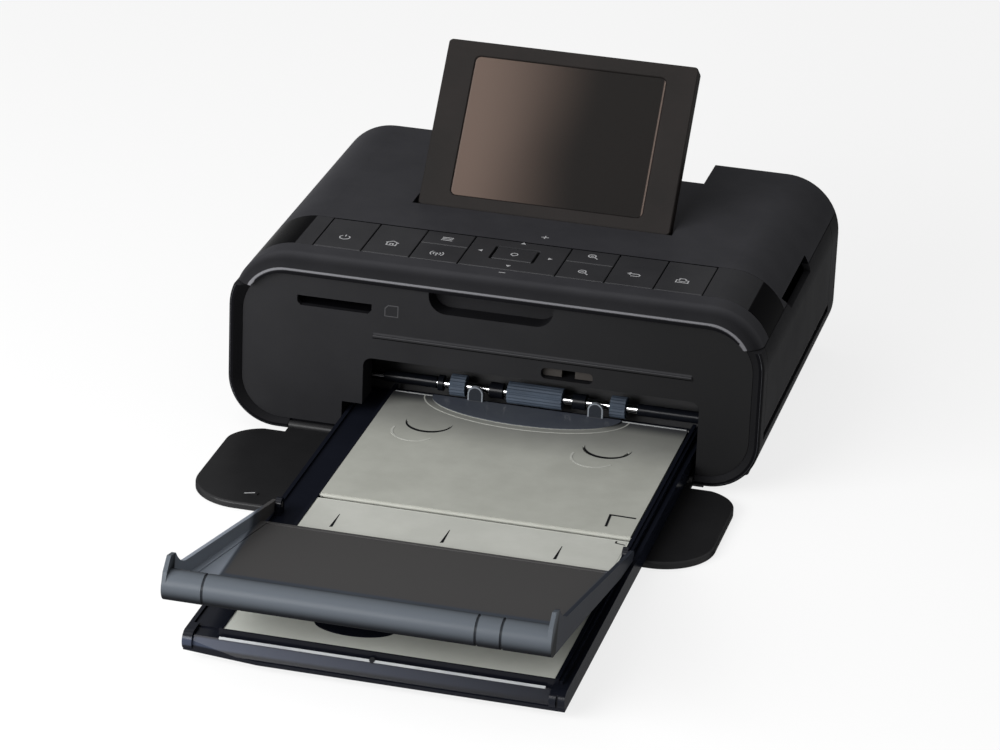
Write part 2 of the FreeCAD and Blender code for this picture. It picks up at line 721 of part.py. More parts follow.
def make_top_cover():
    """Top cover with its front lip, key strip channel and display recess."""
    seam = SEAM_HEIGHT + SEAM_GAP / 2
    outer = body_block(0, 0, BODY_DEPTH).common(side_band(seam, BODY_TOP + OVERRUN))
    outer = fillet_where(outer, LIP_RADIUS, lambda e: lies_at(e, "Y", 0) and not lies_at(e, "Z", seam))
    outer = fillet_where(outer, REAR_EDGE_RADIUS,
                         lambda e: lies_at(e, "Y", BODY_DEPTH) and not lies_at(e, "Z", seam))
    hollow = body_block(WALL, RIM_DEPTH, REAR_WALL_Y)
    front_hollow = face_block(0, -OVERRUN, RIM_DEPTH + OVERRUN)
    shell = outer.cut(hollow).cut(front_hollow)
    strip = body_block(-OVERRUN, STRIP_FRONT, STRIP_REAR)
    strip = strip.cut(body_block(STRIP_SKIN + FIT, STRIP_FRONT - OVERRUN, STRIP_REAR + OVERRUN))
    shell = shell.cut(strip)
    window = block(-KEY_FIELD_HALF - WALL, KEY_FIELD_HALF + WALL, STRIP_FRONT, STRIP_REAR,
                   RECESS_FLOOR, BODY_TOP + OVERRUN)
    shell = shell.cut(window)
    tub_outer = block(-RECESS_HALF_WIDTH - WALL, RECESS_HALF_WIDTH + WALL, RECESS_FRONT - WALL,
                      REAR_WALL_Y + FIT,
                      RECESS_FLOOR - WALL, BODY_TOP - WALL / 2)
    tub_inner = block(-RECESS_HALF_WIDTH, RECESS_HALF_WIDTH, RECESS_FRONT, BODY_DEPTH + OVERRUN,
                      RECESS_FLOOR, BODY_TOP + OVERRUN)
    pins = [side_pin(sign, RECESS_HALF_WIDTH, HINGE_PIN_DEPTH, DISPLAY_HINGE_Y, DISPLAY_HINGE_Z,
                     HINGE_PIN_RADIUS + RUNNING)
            for sign in (-1, 1)]
    shell = shell.fuse(tub_outer).cut(tub_inner)
    shell = cut_all(shell, pins + [notch_block()])
    save("top_cover", [shell.removeSplitter()])


def rear_openings():
    """Cuts through the rear wall: print passage, vents and power inlet."""
    y0 = REAR_WALL_Y - OVERRUN
    y1 = BODY_DEPTH + OVERRUN
    cuts = [rounded_block(OPENING_LEFT, OPENING_RIGHT, y0, y1, PAPER_PATH_Z - EXIT_SLOT_HEIGHT / 2 + FIT,
                          PAPER_PATH_Z + EXIT_SLOT_HEIGHT / 2 + FIT, OPENING_RADIUS / 2, "y")]
    first = FAN_Z - (VENT_COUNT - 1) * VENT_PITCH / 2
    for index in range(VENT_COUNT):
        middle = first + index * VENT_PITCH
        half_chord = math.sqrt(FAN_RIM_RADIUS ** 2 - (middle - FAN_Z) ** 2)
        cuts.append(block(FAN_X - half_chord, FAN_X + half_chord, y0, y1,
                          middle - VENT_HEIGHT / 2, middle + VENT_HEIGHT / 2))
    cuts.append(rod_y(y0, y1, JACK_X, POWER_BOARD_Z + BOARD_THICKNESS + JACK_HEIGHT / 2,
                      JACK_WIDTH / 2 + FIT))
    return cuts


def usb_openings():
    """Cuts through the left wall for the two connectors."""
    x0 = -HALF_WIDTH - OVERRUN
    x1 = -HALF_WIDTH + WALL + OVERRUN
    cuts = []
    for y, width, height in usb_places():
        cuts.append(block(x0, x1, y - width / 2 - FIT, y + width / 2 + FIT,
                          USB_Z - height / 2 - FIT, USB_Z + height / 2 + FIT))
    return cuts


def usb_places():
    """Middle, width and height of each connector on the left side."""
    return [(USB_Y, USB_A_WIDTH, USB_A_HEIGHT), (USB_Y + USB_SPACING, USB_B_WIDTH, USB_B_HEIGHT)]


def plate_screw_places():
    """Where screws come up through the floor into the side plates' flanges."""
    left = LEFT_PLATE_X + PLATE_FLANGE / 2 + PLATE_THICKNESS
    right = RIGHT_PLATE_X - PLATE_FLANGE / 2
    front = BAY_DEPTH + PLATE_FLANGE
    rear = PLATE_REAR - PLATE_FLANGE / 2
    return [(x, y) for x in (left, right) for y in (front, rear)]


def door_cut():
    """Space in the right wall that the ribbon door fills."""
    low = DOOR_HINGE_Z - DOOR_BARREL_RADIUS - SEAM_GAP
    return block(HALF_WIDTH - 2 * DOOR_BARREL_RADIUS - WALL, HALF_WIDTH + OVERRUN, DOOR_FRONT - SEAM_GAP,
                 DOOR_REAR + SEAM_GAP, low, SEAM_HEIGHT + OVERRUN)


def make_lower_case():
    """Lower case with the front rim, the cassette bay, the rear wall and the door's hinge lugs."""
    seam = SEAM_HEIGHT - SEAM_GAP / 2
    outer = body_block(0, 0, BODY_DEPTH).common(side_band(0, seam))
    outer = fillet_where(outer, CASE_EDGE_RADIUS, lambda e: lies_at(e, "Y", 0) and not lies_at(e, "Z", seam))
    outer = fillet_where(outer, REAR_EDGE_RADIUS,
                         lambda e: lies_at(e, "Y", BODY_DEPTH) and not lies_at(e, "Z", seam))
    hollow = body_block(WALL, RIM_DEPTH, REAR_WALL_Y)
    front_hollow = face_block(0, 0, RIM_DEPTH + OVERRUN)
    bevel = Part.makeLoft([body_wire(BEVEL_INSET, -FIT), face_wire(0, FACE_DEPTH)], True, True)
    case = outer.cut(hollow).cut(front_hollow).cut(bevel)
    bay = block(OPENING_FOOT_LEFT, OPENING_RIGHT, -OVERRUN, BAY_DEPTH, FOOT_HEIGHT + BAY_FLOOR, OPENING_TOP)
    flap_notch = block(-flap_notch_half(), flap_notch_half(), -OVERRUN,
                       FLAP_AXIS_Y + FLAP_BARREL_RADIUS + FLAP_NOTCH_CLEAR, 0, OPENING_FOOT_TOP)
    case = cut_all(case, [bay, flap_notch, door_cut(), notch_block()])
    case = cut_all(case, rear_openings() + usb_openings())
    for x, y in plate_screw_places():
        case = case.cut(rod_z(0, FLOOR_TOP + OVERRUN, x, y, SCREW_RADIUS))
        case = case.cut(rod_z(0, FOOT_HEIGHT + SCREW_RECESS + SCREW_HEAD_HEIGHT, x, y,
                              SCREW_HEAD_RADIUS + FIT))
    lug = rod_y(DOOR_REAR + SEAM_GAP, REAR_WALL_Y + FIT, door_axis_x(), DOOR_HINGE_Z,
                DOOR_BARREL_RADIUS - FIT)
    case = case.fuse(lug)
    for sign in (-1, 1):
        case = case.cut(side_pin(sign, flap_notch_half(), FLAP_PIN_REACH, FLAP_AXIS_Y, FLAP_AXIS_Z,
                                 FLAP_PIN_RADIUS + RUNNING))
    case = case.cut(rod_y(DOOR_FRONT - SEAM_GAP - DOOR_PIN_REACH, DOOR_FRONT, door_axis_x(), DOOR_HINGE_Z,
                          DOOR_PIN_RADIUS + RUNNING))
    case = case.cut(rod_y(DOOR_REAR, DOOR_REAR + SEAM_GAP + DOOR_PIN_REACH, door_axis_x(), DOOR_HINGE_Z,
                          DOOR_PIN_RADIUS + RUNNING))
    save("lower_case", [case.removeSplitter()])


def flap_notch_half():
    """Half width of the gap in the front rim that the front cover's hinge turns in."""
    return FLAP_NECK_HALF + SEAM_GAP


def side_pin(sign, start, reach, y, z, radius):
    """Pin along X that reaches outwards from a start distance, on the left or the right."""
    if sign > 0:
        return rod_x(start, start + reach, y, z, radius)
    return rod_x(-start - reach, -start, y, z, radius)


def door_axis_x():
    """X of the ribbon door's hinge axis, its barrel flush with the side."""
    return HALF_WIDTH - DOOR_BARREL_RADIUS


# Front panel

def front_opening(grow, y0, y1, low):
    """The cassette opening's stepped outline, grown by a wall and extruded along Y."""
    points = [(OPENING_LEFT - grow, OPENING_TOP + grow), (OPENING_RIGHT + grow, OPENING_TOP + grow),
              (OPENING_RIGHT + grow, low), (OPENING_FOOT_LEFT - grow, low),
              (OPENING_FOOT_LEFT - grow, OPENING_FOOT_TOP + grow),
              (OPENING_LEFT - grow, OPENING_FOOT_TOP + grow)]
    return prism_y(points, y0, y1)


def make_front_panel():
    """Matte front panel with the opening's tunnel, card slot, crease, finger pocket and catch window."""
    rear = FACE_REAR
    panel = face_block(FIT, FACE_DEPTH, rear)
    tunnel = front_opening(TUNNEL_WALL, FACE_DEPTH, TUNNEL_REAR, FACE_BOTTOM + FIT)
    hole = fillet_where(front_opening(0, -OVERRUN, TUNNEL_REAR + OVERRUN, 0), OPENING_RADIUS,
                        lambda e: runs_along(e, "y") and lies_at(e, "Z", OPENING_TOP))
    crease = rounded_block(-HALF_WIDTH + CREASE_LEFT_INSET, HALF_WIDTH - CREASE_RIGHT_INSET,
                           FACE_DEPTH - CREASE_RISE, rear,
                           CREASE_HEIGHT - CREASE_WIDTH / 2, CREASE_HEIGHT + CREASE_WIDTH / 2,
                           CREASE_RISE / 2, "x")
    grip_top = FACE_TOP - FIT
    grip_rear = FACE_DEPTH + GRIP_DEPTH
    pocket = block(GRIP_LEFT - GRIP_WALL, GRIP_RIGHT + GRIP_WALL, FACE_DEPTH, grip_rear + GRIP_WALL,
                   GRIP_BOTTOM - GRIP_WALL, grip_top)
    hollow = block(GRIP_LEFT, GRIP_RIGHT, -OVERRUN, grip_rear, GRIP_BOTTOM, BODY_TOP)
    hollow = fillet_where(hollow, GRIP_RADIUS, lambda e: runs_along(e, "y") and lies_at(e, "Z", GRIP_BOTTOM))
    slot = chamfer_where(block(CARD_SLOT_LEFT, CARD_SLOT_LEFT + CARD_SLOT_WIDTH, -OVERRUN, TUNNEL_REAR,
                               CARD_SLOT_BOTTOM, CARD_SLOT_BOTTOM + CARD_SLOT_HEIGHT), CARD_SLOT_CHAMFER,
                         lambda e: runs_along(e, "y") and lies_at(e, "Z", CARD_SLOT_BOTTOM))
    window = rounded_block(CATCH_LEFT, CATCH_LEFT + CATCH_WIDTH, -OVERRUN, TUNNEL_REAR, CATCH_BOTTOM,
                           CATCH_BOTTOM + CATCH_HEIGHT, CATCH_RADIUS, "y")
    panel = fuse_all([panel, tunnel, crease, pocket])
    panel = cut_all(panel, [hole, hollow, slot, window])
    save("front_panel", [panel.removeSplitter()])


def make_catch_plate():
    """Grey plate behind the catch window, split by a dark gap."""
    plate = block(CATCH_LEFT - CATCH_MARGIN, CATCH_LEFT + CATCH_WIDTH + CATCH_MARGIN, FACE_REAR,
                  FACE_REAR + CATCH_PLATE_DEPTH, OPENING_TOP + TUNNEL_WALL + FIT,
                  CATCH_BOTTOM + CATCH_HEIGHT + CATCH_MARGIN)
    gap = block(CATCH_SLOT_LEFT, CATCH_SLOT_LEFT + CATCH_SLOT_WIDTH, FACE_DEPTH,
                FACE_REAR + CATCH_PLATE_DEPTH + FIT, CATCH_BOTTOM, CATCH_BOTTOM + CATCH_HEIGHT)
    save("catch_plate", [plate.cut(gap)])


# Key strip

KEY_CENTRE_Y = (STRIP_FRONT + STRIP_REAR) / 2
KEY_FRONT = STRIP_FRONT + FIT + KEY_GAP
KEY_REAR = STRIP_REAR - FIT - KEY_GAP
STEM_END = KEY_BOARD_TOP + DOME_HEIGHT + KEY_TRAVEL + RUNNING
PAD_HALF_WIDTH = KEY_PITCH - KEY_GAP / 2
PAD_HALF_DEPTH = (KEY_REAR - KEY_FRONT) / 2
CARRIER_HALF_WIDTH = PAD_HALF_WIDTH - CARRIER_INSET


def column_span(column, count):
    """Left and right edges of a key that covers a number of columns."""
    left = -KEY_FIELD_HALF + column * KEY_PITCH + KEY_GAP / 2
    return left, left + count * KEY_PITCH - KEY_GAP


def key_places():
    """Name, left, right, front and rear of every single key."""
    full = []
    for name, column in (("power_key", 0), ("home_key", 1), ("back_key", 6), ("print_key", 7)):
        full.append((name,) + column_span(column, 1) + (KEY_FRONT, KEY_REAR))
    split = []
    for front_name, rear_name, column in (("wireless_key", "menu_key", 2),
                                          ("zoom_out_key", "zoom_in_key", 5)):
        left, right = column_span(column, 1)
        split.append((front_name, left, right, KEY_FRONT, KEY_SPLIT_Y - KEY_GAP / 2))
        split.append((rear_name, left, right, KEY_SPLIT_Y + KEY_GAP / 2, KEY_REAR))
    return full + split


def pad_nub_places():
    """Where the four-way pad presses the board."""
    x = PAD_HALF_WIDTH - PAD_NUB_INSET
    y = PAD_HALF_DEPTH - PAD_NUB_INSET
    return [(x, KEY_CENTRE_Y + PAD_NUB_SHIFT), (-x, KEY_CENTRE_Y - PAD_NUB_SHIFT),
            (PAD_NUB_SHIFT, KEY_CENTRE_Y + y), (-PAD_NUB_SHIFT, KEY_CENTRE_Y - y)]


def dome_places():
    """Middles of the domes on the key board."""
    places = [((left + right) / 2, (front + rear) / 2) for name, left, right, front, rear in key_places()]
    places.append((OK_LEFT + OK_WIDTH / 2, OK_FRONT + OK_DEPTH / 2))
    return places


def make_key_frame():
    """Glossy strip that wraps over the cover, with the well that the keys sit in."""
    seam = SEAM_HEIGHT + SEAM_GAP / 2
    y0 = STRIP_FRONT + FIT
    y1 = STRIP_REAR - FIT
    skin = body_block(0, y0, y1).cut(body_block(STRIP_SKIN, y0 - OVERRUN, y1 + OVERRUN))
    skin = skin.common(side_band(seam, BODY_TOP + OVERRUN))
    half = KEY_FIELD_HALF + KEY_GAP / 2
    skin = skin.cut(block(-half, half, y0 - OVERRUN, y1 + OVERRUN, KEY_FLOOR_TOP, BODY_TOP + OVERRUN))
    parts = [skin]
    for x0, x1 in ((-half - STRIP_SKIN, -half), (half, half + STRIP_SKIN)):
        parts.append(block(x0, x1, y0, y1, KEY_FLOOR_BOTTOM, BODY_TOP - STRIP_SKIN / 2))
    parts.append(block(-half - STRIP_SKIN, half + STRIP_SKIN, y0, y1, KEY_FLOOR_BOTTOM, KEY_FLOOR_TOP))
    for sign_x in (-1, 1):
        for y in (y0 + KEY_BOSS_INSET, y1 - KEY_BOSS_INSET):
            parts.append(rod_z(KEY_BOARD_TOP, KEY_FLOOR_TOP, sign_x * (KEY_FIELD_HALF - KEY_BOSS_INSET), y,
                               KEY_BOSS_RADIUS))
    frame = fuse_all(parts)
    well_x = CARRIER_HALF_WIDTH + MOVE_GAP
    well_y = CARRIER_HALF_DEPTH + CARRIER_LUG_DEPTH + MOVE_GAP
    frame = frame.cut(block(-well_x, well_x, KEY_CENTRE_Y - well_y, KEY_CENTRE_Y + well_y,
                            KEY_FLOOR_BOTTOM - OVERRUN, KEY_TOP))
    reach = well_x + PAD_PIVOT_REACH
    frame = frame.cut(rod_x(-reach, reach, KEY_CENTRE_Y, pad_pivot_z(), PAD_PIVOT_RADIUS + RUNNING))
    for name, left, right, front, rear in key_places():
        frame = frame.cut(rod_z(KEY_FLOOR_BOTTOM - OVERRUN, KEY_TOP, (left + right) / 2, (front + rear) / 2,
                                KEY_STEM_RADIUS + FIT))
    for x, y in pad_nub_places():
        frame = frame.cut(rod_z(KEY_FLOOR_BOTTOM - OVERRUN, KEY_TOP, x, y, PAD_NUB_RADIUS + MOVE_GAP))
    save("key_frame", [frame])


def pad_pivot_z():
    """Height of the pad's two tilting axes."""
    return (KEY_FLOOR_TOP + KEY_FLOOR_BOTTOM) / 2


def make_key_board():
    """Board under the keys with its domes."""
    x = KEY_FIELD_HALF - KEY_BOARD_MARGIN
    board = block(-x, x, STRIP_FRONT + KEY_BOARD_MARGIN, STRIP_REAR - KEY_BOARD_MARGIN,
                  KEY_BOARD_TOP - KEY_BOARD_THICKNESS, KEY_BOARD_TOP)
    domes = [rod_z(KEY_BOARD_TOP, KEY_BOARD_TOP + DOME_HEIGHT, px, py, DOME_RADIUS)
             for px, py in dome_places()]
    domes = domes + [rod_z(KEY_BOARD_TOP, KEY_BOARD_TOP + DOME_HEIGHT - KEY_TRAVEL / 2, px, py,
                           KEY_STEM_RADIUS)
                     for px, py in pad_nub_places()]
    save("key_board", [fuse_all([board] + domes)])


def key_cap(left, right, front, rear):
    """Cap of a key, softened round its top."""
    cap = block(left, right, front, rear, KEY_BOTTOM, KEY_TOP)
    return fillet_where(cap, KEY_EDGE_RADIUS, lambda e: lies_at(e, "Z", KEY_TOP) or runs_along(e, "z"))


def make_keys():
    """The single keys, the OK key and the four-way pad with its carrier."""
    for name, left, right, front, rear in key_places():
        stem = rod_z(STEM_END, KEY_BOTTOM + KEY_EDGE_RADIUS, (left + right) / 2, (front + rear) / 2,
                     KEY_STEM_RADIUS)
        save(name, [fuse_all([key_cap(left, right, front, rear), stem])])
    ok_rear = OK_FRONT + OK_DEPTH
    ok_right = OK_LEFT + OK_WIDTH
    stem = rod_z(STEM_END, KEY_BOTTOM + KEY_EDGE_RADIUS, OK_LEFT + OK_WIDTH / 2, OK_FRONT + OK_DEPTH / 2,
                 KEY_STEM_RADIUS)
    save("ok_key", [fuse_all([key_cap(OK_LEFT, ok_right, OK_FRONT, ok_rear), stem])])
    left, right = column_span(KEY_COLUMNS - 1, 2)
    pad = key_cap(left, right, KEY_FRONT, KEY_REAR)
    pad = pad.cut(rounded_block(OK_LEFT - OK_GAP, ok_right + OK_GAP, OK_FRONT - OK_GAP, ok_rear + OK_GAP,
                                KEY_FLOOR_BOTTOM, KEY_TOP + OVERRUN, OK_GAP, "z"))
    parts = [pad]
    for x, y in pad_nub_places():
        parts.append(rod_z(STEM_END - KEY_TRAVEL / 2, KEY_BOTTOM + KEY_EDGE_RADIUS, x, y, PAD_NUB_RADIUS))
    inner = CARRIER_HALF_DEPTH
    for sign in (-1, 1):
        near = KEY_CENTRE_Y + sign * (inner + FIT)
        far = KEY_CENTRE_Y + sign * (inner + CARRIER_LUG_DEPTH)
        parts.append(block(-CARRIER_LUG_WIDTH / 2, CARRIER_LUG_WIDTH / 2, min(near, far), max(near, far),
                           KEY_FLOOR_BOTTOM, KEY_BOTTOM + KEY_EDGE_RADIUS))
        tip = KEY_CENTRE_Y + sign * (inner - PAD_PIVOT_REACH)
        parts.append(rod_y(min(tip, far), max(tip, far), 0, pad_pivot_z(), PAD_PIVOT_RADIUS))
    save("pad_key", [fuse_all(parts)])
    half = CARRIER_HALF_WIDTH
    carrier = block(-half, half, KEY_CENTRE_Y - inner, KEY_CENTRE_Y + inner, KEY_FLOOR_BOTTOM, KEY_FLOOR_TOP)
    carrier = carrier.cut(block(-half + CARRIER_RAIL, half - CARRIER_RAIL,
                                KEY_CENTRE_Y - inner + CARRIER_RAIL,
                                KEY_CENTRE_Y + inner - CARRIER_RAIL, KEY_FLOOR_BOTTOM - OVERRUN, KEY_TOP))
    reach = half + MOVE_GAP + PAD_PIVOT_REACH - FIT
    for x0, x1 in ((-reach, -half + FIT), (half - FIT, reach)):
        carrier = carrier.fuse(rod_x(x0, x1, KEY_CENTRE_Y, pad_pivot_z(), PAD_PIVOT_RADIUS))
    depth = PAD_PIVOT_REACH + FIT
    for y0, y1 in ((KEY_CENTRE_Y - inner, KEY_CENTRE_Y - inner + depth),
                   (KEY_CENTRE_Y + inner - depth, KEY_CENTRE_Y + inner)):
        carrier = carrier.cut(rod_y(y0, y1, 0, pad_pivot_z(), PAD_PIVOT_RADIUS + RUNNING))
    save("pad_carrier", [carrier.removeSplitter()])


# Display

def raise_display(shape):
    """Turn a piece of the flat display up about its hinge."""
    shape.rotate(vec(0, DISPLAY_HINGE_Y, DISPLAY_HINGE_Z), vec(1, 0, 0), DISPLAY_ANGLE)
    return shape


def display_window_span(shrink):
    """X and Y limits of the display's window with the panel flat."""
    half = DISPLAY_WINDOW_WIDTH / 2 - shrink
    y0 = DISPLAY_HINGE_Y + DISPLAY_WINDOW_FOOT + shrink
    y1 = DISPLAY_HINGE_Y + DISPLAY_WINDOW_FOOT + DISPLAY_WINDOW_HEIGHT - shrink
    return -half, half, y0, y1


def make_display():
    """Display: back with its hinge barrel, bezel, window and panel."""
    half = DISPLAY_WIDTH / 2
    low = BODY_TOP - DISPLAY_THICKNESS
    split = BODY_TOP - DISPLAY_FRAME_THICKNESS
    rear = DISPLAY_HINGE_Y + DISPLAY_HEIGHT
    back = rounded_block(-half, half, DISPLAY_HINGE_Y, rear, low, split, DISPLAY_CORNER, "z")
    inner_y = DISPLAY_HINGE_Y + DISPLAY_WINDOW_FOOT - PANEL_MARGIN
    back = back.cut(block(-half + PANEL_MARGIN, half - PANEL_MARGIN, inner_y, rear - PANEL_MARGIN,
                          low + DISPLAY_SHELL, split + OVERRUN))
    barrel = rod_x(-half, half, DISPLAY_HINGE_Y, DISPLAY_HINGE_Z, DISPLAY_THICKNESS / 2)
    barrel = barrel.cut(block(-half, half, DISPLAY_HINGE_Y, rear, split, BODY_TOP + OVERRUN))
    reach = RECESS_HALF_WIDTH + HINGE_PIN_DEPTH - FIT - half
    pins = [side_pin(sign, half, reach, DISPLAY_HINGE_Y, DISPLAY_HINGE_Z, HINGE_PIN_RADIUS)
            for sign in (-1, 1)]
    save("display_back", [raise_display(fuse_all([back, barrel] + pins))])
    bezel = rounded_block(-half, half, DISPLAY_HINGE_Y, rear, split, BODY_TOP, DISPLAY_CORNER, "z")
    x0, x1, y0, y1 = display_window_span(0)
    hole = rounded_block(x0, x1, y0, y1, split - OVERRUN, BODY_TOP + OVERRUN, DISPLAY_WINDOW_RADIUS, "z")
    bezel = bezel.cut(hole)
    bezel = chamfer_where(bezel, KEY_EDGE_RADIUS, lambda e: lies_at(e, "Z", BODY_TOP))
    save("display_bezel", [raise_display(bezel)])
    x0, x1, y0, y1 = display_window_span(FIT)
    window = rounded_block(x0, x1, y0, y1, split, BODY_TOP - DISPLAY_WINDOW_DROP - KEY_EDGE_RADIUS,
                           DISPLAY_WINDOW_RADIUS - FIT, "z")
    save("display_window", [raise_display(window)])
    panel = block(x0 - PANEL_MARGIN / 2, x1 + PANEL_MARGIN / 2, y0 - PANEL_MARGIN / 2, y1 + PANEL_MARGIN / 2,
                  split - PANEL_THICKNESS, split)
    save("lcd_panel", [raise_display(panel)])


# Ribbon door

def make_ink_door():
    """Right-hand side panel that opens for the ribbon cassette."""
    seam = SEAM_HEIGHT - SEAM_GAP / 2
    door = body_block(0, DOOR_FRONT, DOOR_REAR).cut(body_block(DOOR_THICKNESS, DOOR_FRONT - OVERRUN,
                                                               DOOR_REAR + OVERRUN))
    door = door.common(block(0, BODY_WIDTH, DOOR_FRONT, DOOR_REAR, DOOR_HINGE_Z, seam))
    barrel = rod_y(DOOR_FRONT, DOOR_REAR, door_axis_x(), DOOR_HINGE_Z, DOOR_BARREL_RADIUS)
    reach = SEAM_GAP + DOOR_PIN_REACH - FIT
    pin = rod_y(DOOR_FRONT - reach, DOOR_REAR + reach, door_axis_x(), DOOR_HINGE_Z, DOOR_PIN_RADIUS)
    door = fuse_all([door, barrel, pin])
    door = door.cut(notch_block())
    save("ink_door", [door.removeSplitter()])


# Front cover on the table

def make_front_cover():
    """Front cover that lies open on the table under the cassette."""
    top = FLAP_BOTTOM + FLAP_THICKNESS
    plate = block(-FLAP_HALF_WIDTH, FLAP_HALF_WIDTH, FLAP_FRONT, FLAP_REAR, FLAP_BOTTOM, top)
    plate = fillet_where(plate, FLAP_RADIUS, lambda e: runs_along(e, "z") and lies_at(e, "Y", FLAP_FRONT))
    plate = fillet_where(plate, FLAP_CHAMFER, lambda e: lies_at(e, "Z", top))
    parts = [plate]
    spans = ((-FLAP_NECK_HALF, -FLAP_NECK_HALF + FLAP_BARREL_LENGTH),
             (FLAP_NECK_HALF - FLAP_EAR_WIDTH, FLAP_NECK_HALF))
    for x0, x1 in spans:
        parts.append(rod_x(x0, x1, FLAP_AXIS_Y, FLAP_AXIS_Z, FLAP_BARREL_RADIUS))
        parts.append(block(x0, x1, FLAP_REAR - FLAP_CHAMFER, FLAP_AXIS_Y, FLAP_AXIS_Z - FLAP_BARREL_RADIUS,
                           top))
    for sign in (-1, 1):
        parts.append(side_pin(sign, FLAP_NECK_HALF - FIT, FLAP_PIN_REACH, FLAP_AXIS_Y, FLAP_AXIS_Z,
                              FLAP_PIN_RADIUS))
        x = sign * (HALF_WIDTH - FLAP_HOOK_INSET)
        parts.append(block(x - FLAP_HOOK_WIDTH / 2, x + FLAP_HOOK_WIDTH / 2, FLAP_HOOK_Y,
                           FLAP_HOOK_Y + FLAP_HOOK_DEPTH,
                           top - FLAP_CHAMFER, top + FLAP_HOOK_RISE))
    save("front_cover", [fuse_all(parts)])


# Cassette, paper and lid

def cassette_walls():
    """X limits and top of every wall that runs along the cassette."""
    return [(CASSETTE_LEFT, CASSETTE_LEFT + TRAY_WALL, TRAY_OUTER_TOP),
            (INNER_LEFT - TRAY_INNER_WALL, INNER_LEFT, TRAY_INNER_TOP),
            (INNER_RIGHT, INNER_RIGHT + TRAY_INNER_WALL, TRAY_INNER_TOP),
            (CASSETTE_RIGHT - TRAY_WALL - 2 * TRAY_RAIL_WIDTH, CASSETTE_RIGHT - TRAY_WALL - TRAY_RAIL_WIDTH,
             TRAY_RAIL_TOP),
            (CASSETTE_RIGHT - TRAY_WALL, CASSETTE_RIGHT, TRAY_OUTER_TOP)]


def lid_post_spans():
    """X limits of the two posts that carry the lid's hinge."""
    inner_left = LID_LEFT + LID_SIDE_WALL + FIT
    inner_right = LID_RIGHT - LID_SIDE_WALL - FIT
    return [(inner_left, inner_left + LID_POST_WIDTH), (inner_right - LID_POST_WIDTH, inner_right)]


